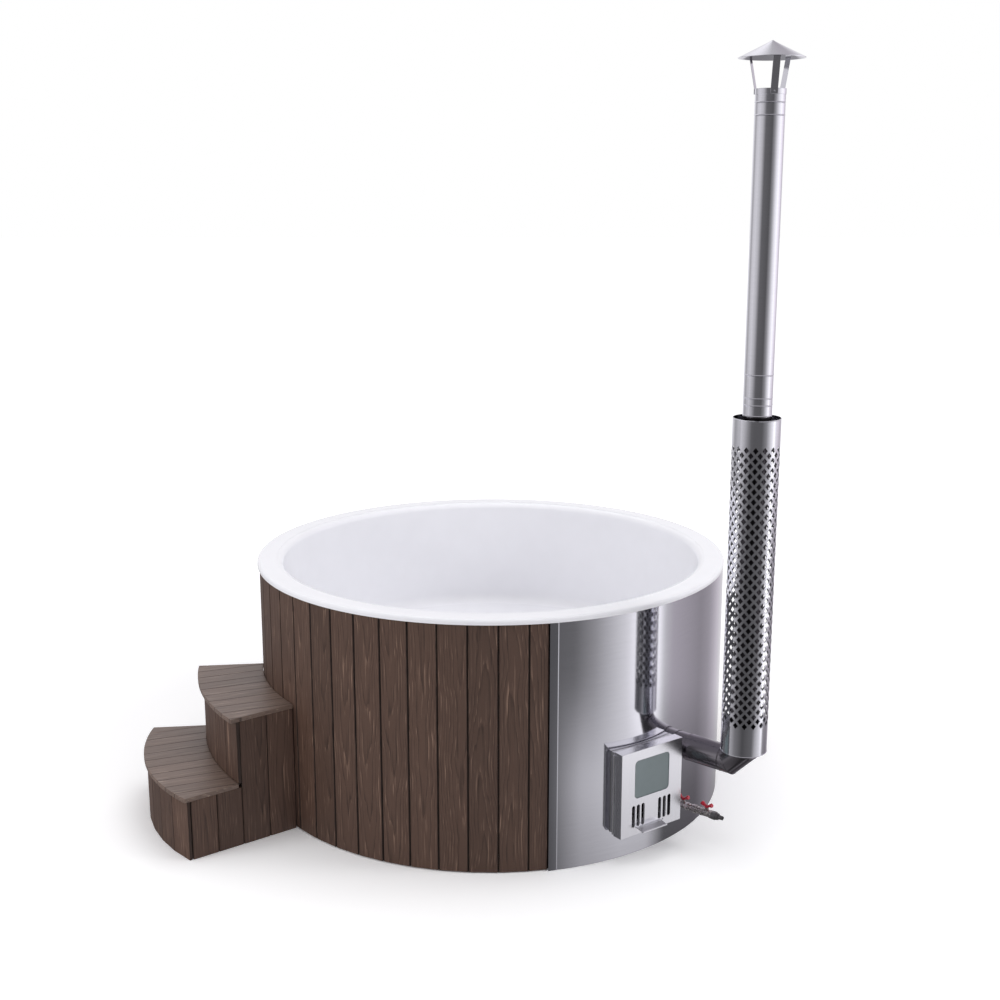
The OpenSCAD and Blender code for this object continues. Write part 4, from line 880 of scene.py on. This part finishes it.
class TUB_OT_flue(Operator):
    """Makes the flue from the wall to the chimney, with its mitred elbow"""

    bl_idname = "tub.flue"
    bl_label = "Flue"

    def execute(self, context):
        seam = context.scene.tub_sizes.seam
        place = at(SERVICE_AZ, z=FLUE_Z) @ X_AXIS
        # The stub stands out of the wall, and the level pipe slides over it
        bm = bmesh.new()
        tube(bm, 0.051, SHEET, 0.925, 1.089, place)
        piece("flue_spigot", bm, "flue_steel", ["flue_stub"])
        bm = bmesh.new()
        tube(bm, PIPE_R, SHEET, 1.064, 1.2258, place, beads=[(1.0665, 0.0012), (1.2225, 0.0010)])
        piece("level_flue", bm, "flue_steel", ["flue_pipe"])
        # Level, slanted and upright lengths meet on two mitre planes
        cut_in, top, start = 0.057, 0.520, 1.2262
        joints = [((start, FLUE_Z), 0.0), ((CHIMNEY_R - cut_in, FLUE_Z), 22.5),
                  ((CHIMNEY_R, FLUE_Z + cut_in), 67.5), ((CHIMNEY_R, top), 90.0)]
        bm = bmesh.new()
        skins = []
        for wall in (0.0, SHEET):
            for (x, z), turn in joints if not wall else joints[::-1]:
                # A mitre plane stretches the ring by 1 / cos(22.5 degrees)
                r, a = PIPE_R - wall, radians(turn)
                wide = r / cos(radians(22.5)) if turn in (22.5, 67.5) else r
                ring = [bm.verts.new(at(SERVICE_AZ) @ Vector((
                    x - wide * cos(t) * sin(a), r * sin(t),
                    z + wide * cos(t) * cos(a)))) for t in turns(96)]
                skins.append(ring)
        loft(bm, skins)
        paths = [[v.co.copy() for v in ring] for ring in skins[1:3]]
        bmesh.ops.recalc_face_normals(bm, faces=bm.faces)
        for path in paths:
            wire(bm, path, seam)
        # The elbow's narrower sleeve slides into the level pipe
        tube(bm, 0.0512, SHEET, 1.202, 1.230, place)
        piece("mitred_elbow", bm, "flue_steel", ["flue_elbow"], sharp=25)
        return {"FINISHED"}


class TUB_OT_chimney(Operator):
    """Makes the two chimney pipes and the rain cap on its three straps"""

    bl_idname = "tub.chimney"
    bl_label = "Chimney"

    def execute(self, context):
        place = at(SERVICE_AZ, CHIMNEY_R)
        top, joint = 2.906, 1.758
        # The lower pipe stands in the elbow and reaches up into the upper one
        bm = bmesh.new()
        tube(bm, 0.05145, SHEET, 0.4905, joint + 0.060, place, beads=[(0.5215, 0.0012)])
        # The lower pipe's darker steel is painted shade behind the guard
        piece("lower_chimney_pipe", bm, "shade_painted_steel", ["lower_pipe"])
        bm = bmesh.new()
        tube(bm, PIPE_R, SHEET, joint, top - 0.00125, place,
             beads=[(joint + h, 0.0014) for h in (0.0045, 0.043, 0.069, 0.153)]
             + [(top - h, 0.0014) for h in (0.046, 0.089)])
        piece("upper_chimney_pipe", bm, "pipe_steel", ["upper_pipe"])
        # Cap: a thin cone with a turned-down rim and a small closed tip
        rim, r, h = 3.008, 0.117, 0.059
        outside = [(r, rim), (r - 0.0002, rim + 0.0016), (r - 0.004, rim + 0.0036)]
        inside = [(0, rim + h - 0.0035), (0.006, rim + h - 0.0062), (r - 0.006, rim + 0.0015),
                  (r - 0.0012, rim)]
        tip = [(0.012, rim + h - 0.0058), (0.006, rim + h - 0.002), (0.0025, rim + h - 0.0003),
               (0, rim + h)]
        bm = bmesh.new()
        spun(bm, outside + tip + inside, 96, place)
        piece("rain_cap_cone", bm, "pipe_steel", ["rain_cap"], sharp=30)
        # Collar and one strap, repeated three times round the pipe
        leg_r, band, strap, width = PIPE_R + 0.0003 + 0.00125, 0.00125, 0.0015, 0.026
        foot = leg_r + 0.020
        fall = (h - SHEET) / (r - 2 * SHEET)
        under = lambda x: rim + (r - 2 * SHEET - hypot(x, width / 2)) * fall - 0.0003
        profile = [(leg_r + 0.0001, top - 0.0185), (leg_r + strap, top - 0.0185),
                   (leg_r + strap, top + 0.003), (foot + strap, rim),
                   (foot + strap, under(foot + strap)), (foot - 0.017, under(foot - 0.017)),
                   (foot - 0.017, under(foot - 0.017) - strap), (foot, under(foot) - strap),
                   (foot, rim), (leg_r + 0.0001, top + 0.003)]
        leg = bmesh.new()
        raised(leg, profile, width, Matrix.Translation((0, width / 2, 0)) @ Matrix.Rotation(
            radians(90), 4, "X"))
        bmesh.ops.recalc_face_normals(leg, faces=leg.faces)
        ease(leg, 0.0003, 40, 1)
        axis, first_leg = place.to_translation(), SERVICE_AZ - 166
        bm = ringed(leg, "pipe_steel", 3, first_leg, 120, axis=axis)
        tube(bm, leg_r, band, top - 0.020, top, place)
        tube(bm, leg_r, band + 0.0018, top - band, top + 0.0001, place)
        piece("cap_straps", bm, "pipe_steel", ["cap_legs"])
        rivet = bmesh.new()
        spun(rivet, [(0, leg_r + strap), (0.003, leg_r + strap), (0.0026, leg_r + strap + 0.0009),
                     (0.0014, leg_r + strap + 0.0015), (0, leg_r + strap + 0.0016)], 16,
             Matrix.Translation((0, 0, top - 0.010)) @ X_AXIS)
        piece("strap_rivets", ringed(rivet, "pipe_steel", 3, first_leg, 120, axis=axis),
              "pipe_steel", ["cap_rivets"])
        return {"FINISHED"}


def guard_cell(radius, wall, width, height, hole, filled):
    """A piece of the guard with one diamond in its middle and a quarter of one at each corner.
    `filled` names the side, -1 or 1, whose corners stay closed."""
    a, b = hole[0] / 2, hole[1] / 2
    w, h = width / 2, height / 2
    bm = bmesh.new()
    # The inner skin is marked for painted shade, which darkens the guard's inside
    soot = bm.verts.layers.float.new("soot")
    found = {}

    def point(s, z, skin):
        key = (round(s, 6), round(z, 6), skin)
        if key not in found:
            t = s / radius
            r = radius - skin * wall
            found[key] = bm.verts.new(polar(r, t, z))
            found[key][soot] = skin
        return found[key]

    for sx in (-1, 1):
        for sz in (-1, 1):
            inner = [(a, 0), (a / 2, b / 2), (0, b)]
            outer = [(w, h - b), (w - a / 2, h - b / 2), (w - a, h)]
            flats = [[inner[0], outer[0], outer[1], inner[1]],
                     [inner[1], outer[1], outer[2], inner[2]],
                     [inner[0], (w, 0), outer[0]], [inner[2], outer[2], (0, h)]]
            rims = [inner]
            if sz == filled:
                flats += [[outer[0], (w, h), outer[1]], [outer[1], (w, h), outer[2]]]
            else:
                rims.append(outer)
            for skin in (0, 1):
                for flat in flats:
                    corners = [point(sx * s, sz * z, skin) for s, z in flat]
                    bm.faces.new(corners if (sx * sz > 0) == (skin == 0) else corners[::-1])
            for rim in rims:
                for p, q in zip(rim, rim[1:]):
                    bm.faces.new([point(sx * p[0], sz * p[1], 0), point(sx * q[0], sz * q[1], 0),
                                  point(sx * q[0], sz * q[1], 1), point(sx * p[0], sz * p[1], 1)])
    return bm


def guard_band(radius, wall, width, hole, low, high, edge):
    """A closed band of the guard. `edge` is 0 or 1: which of its heights is the free edge."""
    w, a = width / 2, hole[0] / 2
    angles = [s / radius for s in (-w, -(w - a), 0, w - a, w)]
    roll = 0.0012 if edge else -0.0012
    free, joint = (high, low) if edge else (low, high)
    profile = [(radius, joint), (radius, free - 3 * roll), (radius + 0.0009, free - 2 * roll),
               (radius + 0.0009, free - 0.6 * roll), (radius, free), (radius - wall, free),
               (radius - wall, joint)]
    bm = bmesh.new()
    columns = [[bm.verts.new(polar(r, t, z)) for r, z in profile] for t in angles]
    for left, right in zip(columns, columns[1:]):
        for i in range(len(profile) - 1):
            bm.faces.new((left[i], right[i], right[i + 1], left[i + 1]))
    return bm


class TUB_OT_guard(Operator):
    """Makes the perforated guard round the lower chimney"""

    bl_idname = "tub.guard"
    bl_label = "Chimney guard"

    def execute(self, context):
        size = context.scene.tub_sizes
        radius, wall, low, high = 0.0881, SHEET, 0.456, 1.752
        width = 2 * pi * radius / size.guard_around
        hole = (size.diamond_w, size.diamond_h)
        first, last = low + 0.126, high - 0.110
        pitch = (last - first) / (size.guard_rows - 1)
        axis = at(SERVICE_AZ, CHIMNEY_R).to_translation()
        start, step = -100.9, 360 / size.guard_around
        cell = partial(guard_cell, radius, wall, width, pitch, hole)
        band = partial(guard_band, radius, wall, width, hole)
        parts = [(cell(0), first + pitch, size.guard_rows - 2), (cell(-1), first, 1),
                 (cell(1), last, 1), (band(low, first - pitch / 2, 0), 0, 1),
                 (band(last + pitch / 2, high, 1), 0, 1)]
        whole = bmesh.new()
        for part, height, rows in parts:
            join(whole, ringed(part, "pipe_steel", size.guard_around, start, step, rows, pitch,
                               (axis.x, axis.y, height)))
        bmesh.ops.remove_doubles(whole, verts=whole.verts, dist=2e-5)
        piece("diamond_guard", whole, "pipe_steel", ["guard_tube"], sharp=35)
        # The spokes inside the guard take the same painted shade
        eased("guard_spokes", "guard_spiders", "shade_painted_steel", 0.0003)
        return {"FINISHED"}


def hexagon(bm, radius, low, high, place, bore, sides=6):
    """A bevelled nut along the Z axis of a place, bored through, with six sides or more."""
    chamfer = radius * 0.09
    rings = []
    for r, h in ((bore, low), (radius - chamfer, low), (radius, low + chamfer),
                 (radius, high - chamfer), (radius - chamfer, high), (bore, high)):
        ring = []
        for t in turns(sides * 6):
            flat = (t + pi / sides) % (2 * pi / sides) - pi / sides
            edge = radius * cos(pi / sides) / cos(flat)
            reach = r if r == bore else min(r, edge)
            ring.append(bm.verts.new(place @ polar(reach, t, h)))
        rings.append(ring)
    loft(bm, rings)


class TUB_OT_drain_line(Operator):
    """Makes the drain pipe, union, reducer and hose tail"""

    bl_idname = "tub.drain_line"
    bl_label = "Drain line"

    def execute(self, context):
        place = at(SERVICE_AZ, z=DRAIN_Z) @ X_AXIS
        keep("pipe_steel", "drain_pipe")
        union, bore = 0.060, 0.0055
        start = VALVES["valve_1"] + VALVE_HALF
        mid, end = start + union / 2, start + union
        # Union: a collar with a knurled nut and turned shoulders on each side
        side = [(0.008, 0), (0.0125, 0), (0.0142, 0.0015), (0.0142, 0.007), (0.0118, 0.0085),
                (0.0118, 0.0115), (0.0145, 0.013), (0.0145, union / 2 - 0.010)]
        bm = bmesh.new()
        spun(bm, [(r, start + h) for r, h in side] + [(r, end - h) for r, h in side[::-1]], 48,
             place)
        hexagon(bm, 0.0175, mid - 0.0098, mid + 0.0098, place, 0.0144, 8)
        piece("union_fitting", bm, "nickel_brass", ["pipe_union"], sharp=20)
        nut = VALVES["valve_2"] + VALVE_HALF
        bm = bmesh.new()
        hexagon(bm, 0.017, nut, nut + 0.020, place, 0.0056)
        spun(bm, [(bore, nut + 0.0195), (0.0135, nut + 0.0195), (0.0135, nut + 0.0285),
                  (0.0125, nut + 0.030), (bore, nut + 0.030)], 48, place)
        piece("reducer_nut", bm, "zinc", ["drain_reducer"], sharp=20)
        tail, reach, r, groove = nut + 0.030, 0.020, 0.0085, 0.0077
        bm = bmesh.new()
        spun(bm, [(x, tail + reach * k) for x, k in (
            (bore, 0), (r, 0), (r, 0.6), (groove, 0.65), (r, 0.7), (r, 0.8), (groove, 0.85),
            (r, 0.9), (groove, 1), (bore, 1))], 48, place)
        piece("hose_tail", bm, "zinc", ["hose_nozzle"], sharp=20)
        return {"FINISHED"}


class TUB_OT_valves(Operator):
    """Makes the two ball valves with their red butterfly handles"""

    bl_idname = "tub.valves"
    bl_label = "Valves"

    def execute(self, context):
        half, neck, nut = VALVE_HALF, 0.024, 0.012
        for name, r in VALVES.items():
            line = at(SERVICE_AZ, z=DRAIN_Z) @ X_AXIS
            bm = bmesh.new()
            for start in (r - half, r + half - nut):
                hexagon(bm, 0.0165, start, start + nut, line, 0.0082)
            swell = [(0.013, 0.0142), (0.0138, 0.0125), (0.0148, 0.009), (0.0150, 0.004)]
            spun(bm, [(x, r - h) for x, h in swell] + [(x, r + h) for x, h in swell[::-1]], 48,
                 line)
            up = at(SERVICE_AZ, r, 0, DRAIN_Z)
            spun(bm, [(0.0036, 0.0125), (0.0092, 0.0125), (0.0088, 0.017), (0.0076, 0.0175),
                      (0.0076, 0.0185), (0.0079, 0.019), (0.0079, neck - 0.0008), (0.0071, neck),
                      (0.0036, neck)], 36, up)
            piece(name + "_housing", bm, "nickel_brass", [name + "_body"], sharp=30)
            keep("nickel_brass", name + "_ball")
            # Handle: a hub and two wings, lofted through rings of (x, z, half width, half height)
            bm = bmesh.new()
            base, hub = neck + 0.0003, 0.008
            spun(bm, [(0, base + 0.0047), (0.0034, base + 0.0047), (0.0034, base),
                      (hub - 0.001, base), (hub, base + 0.001), (hub, base + 0.007),
                      (hub - 0.0015, base + 0.009), (0.003, base + 0.0092), (0, base + 0.0092)],
                 24, up)
            spine = [(0.0045, 0.0050, 0.0058, 0.0046), (0.0080, 0.0058, 0.0066, 0.0046),
                     (0.0120, 0.0084, 0.0080, 0.0052), (0.0165, 0.0112, 0.0096, 0.0066),
                     (0.0215, 0.0132, 0.0104, 0.0080), (0.0252, 0.0138, 0.0080, 0.0062)]
            for side in (-1, 1):
                loft(bm, [[bm.verts.new(up @ Vector((side * (x - 0.4 * tall * sin(t)),
                                                     wide * cos(t),
                                                     base + z + tall * sin(t))))
                           for t in turns(16)] for x, z, wide, tall in spine], closed=False)
            piece(name + "_wings", bm, "red_enamel", [name + "_handle"], name + "_turn", sharp=50)
        return {"FINISHED"}


class TUB_OT_stair(Operator):
    """Makes the two-step stair of stained boards"""

    bl_idname = "tub.stair"
    bl_label = "Stair"

    def execute(self, context):
        edge = context.scene.tub_sizes.edge
        upright = Vector((0, 0, 1))
        radial = (at(STAIR_AZ).to_3x3() @ Vector((1, 0, 0))).normalized()
        for name, node, kind, along, seed, wide in (
                ("side_panels", "stair_side_boards", "board_wood", upright, 3, 0.0036),
                ("riser_panels", "stair_riser_boards", "board_wood", upright, 8, 0.0036),
                ("lower_step", "lower_tread", "tread_wood", radial, 4, 0.0015),
                ("upper_step", "upper_tread", "tread_wood", radial, 6, 0.0015)):
            bm = copied(node)
            ease(bm, edge, 30, along=along, wide=wide)
            set_grain(bm, along, seed, kind == "tread_wood")
            piece(name, bm, kind, [node], sharp=None)
        keep("frame_wood", "stair_bearers", "stair_posts")
        return {"FINISHED"}


def studio_floor(scene):
    """White studio floor: bright enough for the eye to fade into the background, so that only the
    soft shadow close round the tub is left."""
    mesh = bpy.data.meshes.new("floor")
    mesh.from_pydata([(-60, -60, 0), (60, -60, 0), (60, 60, 0), (-60, 60, 0)], [], [(0, 1, 2, 3)])
    floor = bpy.data.objects.new("floor", mesh)
    floor.visible_glossy = False
    scene.collection.objects.link(floor)
    material, node = blank("white_studio_floor")
    seen = node("LightPath", out="Is Camera Ray")
    matte = node("BsdfDiffuse", {"Color": (0.92, 0.92, 0.92, 1)})
    extra = node("BsdfDiffuse", {"Color": node("Math", [seen, 0.24], operation="MULTIPLY")})
    away = node("VectorMath", [node("TexCoord", out="Object")], out="Value", operation="LENGTH")
    power = node("Math", [node("MapRange", [away, 1.9, 5.0, 0.0, 0.40]), seen],
                 operation="MULTIPLY")
    lit = node("AddShader", [node("AddShader", [matte, extra]),
                             node("Emission", {"Strength": power})])
    node("OutputMaterial", [lit], out=None)
    mesh.materials.append(material)


# Studio walls that the steel mirrors: grey levels by azimuth, and the rises between which each
# row takes over from the row above it
WALLS = (
    ([(-180, 0.45), (60, 0.42), (80, 0.52), (95, 1.15), (135, 1.10), (155, 0.45)], 2.0, 1.5),
    ([(-180, 0.75), (-150, 0.55), (-125, 0.14), (-75, 0.10), (-52, 0.36), (-28, 0.90),
      (-4, 1.25), (20, 1.00), (45, 0.60), (70, 0.80), (110, 0.90), (140, 0.40), (165, 0.70)],
     0.65, 0.35),
    ([(-180, 0.60), (-150, 0.15), (-110, 0.08), (-62, 0.13), (-50, 0.15), (-40, 0.32),
      (-22, 0.80), (-13, 1.35), (-4, 1.40), (2, 0.60), (8, 0.46), (33, 0.31), (44, 0.38),
      (58, 0.62), (72, 0.74), (90, 0.70), (140, 0.30)], -0.10, -0.26),
    ([(-180, 0.40), (-110, 0.08), (-62, 0.15), (-46, 0.58), (-24, 0.74), (-8, 0.74),
      (4, 0.16), (33, 0.13), (50, 0.28), (75, 0.32), (90, 0.50), (140, 0.20)], -0.345, -0.41),
    ([(-180, 0.30), (-110, 0.06), (-62, 0.12), (-46, 0.36), (-24, 0.50), (-8, 0.46),
      (4, 0.06), (30, 0.07), (50, 0.20), (75, 0.24), (90, 0.30), (140, 0.15)], -0.41, -0.46),
)


def studio_walls(scene):
    """White for the eye and for glass, grey walls for mirror rays and an even fill otherwise."""
    world = bpy.data.worlds.new("studio")
    scene.world = world
    world.use_nodes = True
    world.node_tree.nodes.clear()
    node = partial(add, world.node_tree)
    path = node("LightPath", out=None)
    way = node("TexCoord", out="Generated")
    around = node("TexGradient", {"Vector": way}, out="Fac", gradient_type="RADIAL")
    rise = node("SeparateXYZ", [way], out=2)
    walls = (0, 0, 0, 1)
    for levels, start, end in WALLS:
        # The walls are faintly lilac, a little more so on the chimney's side
        ramp = node("ValToRGB", [around],
                    [((a + 180) / 360, (v, v * (0.93 if 5 < a < 70 else 0.985), v * 1.02, 1))
                     for a, v in levels])
        low = node("MapRange", [rise, start, end])
        walls = node("Mix", {0: low, 6: walls, 7: ramp}, out=2, data_type="RGBA")
    mirrored = node("Background", {"Color": walls, "Strength": 1.0})
    fill = node("Background", {"Color": linear("#fdfcff"), "Strength": 0.62})
    white = node("Background", {"Color": (1, 1, 1, 1), "Strength": 1.0})
    lit = node("MixShader", [path["Is Glossy Ray"], fill, mirrored])
    seen = node("Math", [path["Is Camera Ray"], path["Is Transmission Ray"]], operation="MAXIMUM")
    node("OutputWorld", [node("MixShader", [seen, lit, white])], out=None)


class TUB_OT_stage(Operator):
    """Lays the floor, hangs the lamps and sets the camera"""

    bl_idname = "tub.stage"
    bl_label = "Stage"

    def execute(self, context):
        scene = context.scene
        scene.view_settings.view_transform = "Standard"
        studio_floor(scene)
        studio_walls(scene)
        for name, place, size, power in (("high_lamp", (0.0, -0.2, 5.5), 4.0, 75),
                                         ("left_lamp", (-5.5, -3.0, 3.0), 3.0, 92),
                                         ("right_lamp", (5.5, -1.0, 3.8), 2.5, 110)):
            lamp = bpy.data.lights.new(name, "AREA")
            lamp.shape = "DISK"
            lamp.size = size
            lamp.energy = power
            obj = bpy.data.objects.new(name, lamp)
            obj.location = place
            aim = Vector((0, 0, 0.6)) - Vector(place)
            obj.rotation_euler = aim.to_track_quat("-Z", "Y").to_euler()
            obj.visible_glossy = False
            scene.collection.objects.link(obj)
        # Solved from the photo's ellipses and upright lines
        lens = bpy.data.cameras.new("camera")
        lens.lens = 50.30
        lens.sensor_width = 36.0
        camera = bpy.data.objects.new("camera", lens)
        camera.location = (0, -5.9137, 2.5939)
        camera.rotation_euler = (radians(90 - 12.862), 0, radians(-0.389))
        scene.collection.objects.link(camera)
        scene.camera = camera
        return {"FINISHED"}


class TUB_PT_panel(Panel):
    """Lists the pieces, sizes and colours"""

    bl_idname = "TUB_PT_panel"
    bl_label = "Hot Tub"
    bl_space_type = "VIEW_3D"
    bl_region_type = "UI"
    bl_category = "Hot Tub"

    def draw(self, context):
        for kind in OPERATORS:
            self.layout.operator(kind.bl_idname)
        for group in (context.scene.tub_sizes, context.scene.tub_colours):
            column = self.layout.column()
            for name in group.__annotations__:
                column.prop(group, name)


OPERATORS = (TUB_OT_liner, TUB_OT_cladding, TUB_OT_steel_side, TUB_OT_tub_frame, TUB_OT_stove,
             TUB_OT_stove_door, TUB_OT_air_slide, TUB_OT_flue, TUB_OT_chimney, TUB_OT_guard,
             TUB_OT_drain_line, TUB_OT_valves, TUB_OT_stair, TUB_OT_stage)


def register():
    for kind in (TubSizes, TubColours, TUB_PT_panel) + OPERATORS:
        bpy.utils.register_class(kind)
    bpy.types.Scene.tub_sizes = PointerProperty(type=TubSizes)
    bpy.types.Scene.tub_colours = PointerProperty(type=TubColours)


def unregister():
    del bpy.types.Scene.tub_sizes
    del bpy.types.Scene.tub_colours
    for kind in OPERATORS + (TUB_PT_panel, TubColours, TubSizes):
        bpy.utils.unregister_class(kind)


def main():
    register()
    bpy.ops.tub.liner()
    bpy.ops.tub.cladding()
    bpy.ops.tub.steel_side()
    bpy.ops.tub.tub_frame()
    bpy.ops.tub.stove()
    bpy.ops.tub.stove_door()
    bpy.ops.tub.air_slide()
    bpy.ops.tub.flue()
    bpy.ops.tub.chimney()
    bpy.ops.tub.guard()
    bpy.ops.tub.drain_line()
    bpy.ops.tub.valves()
    bpy.ops.tub.stair()
    bpy.ops.tub.stage()


if __name__ == "__main__":
    main()
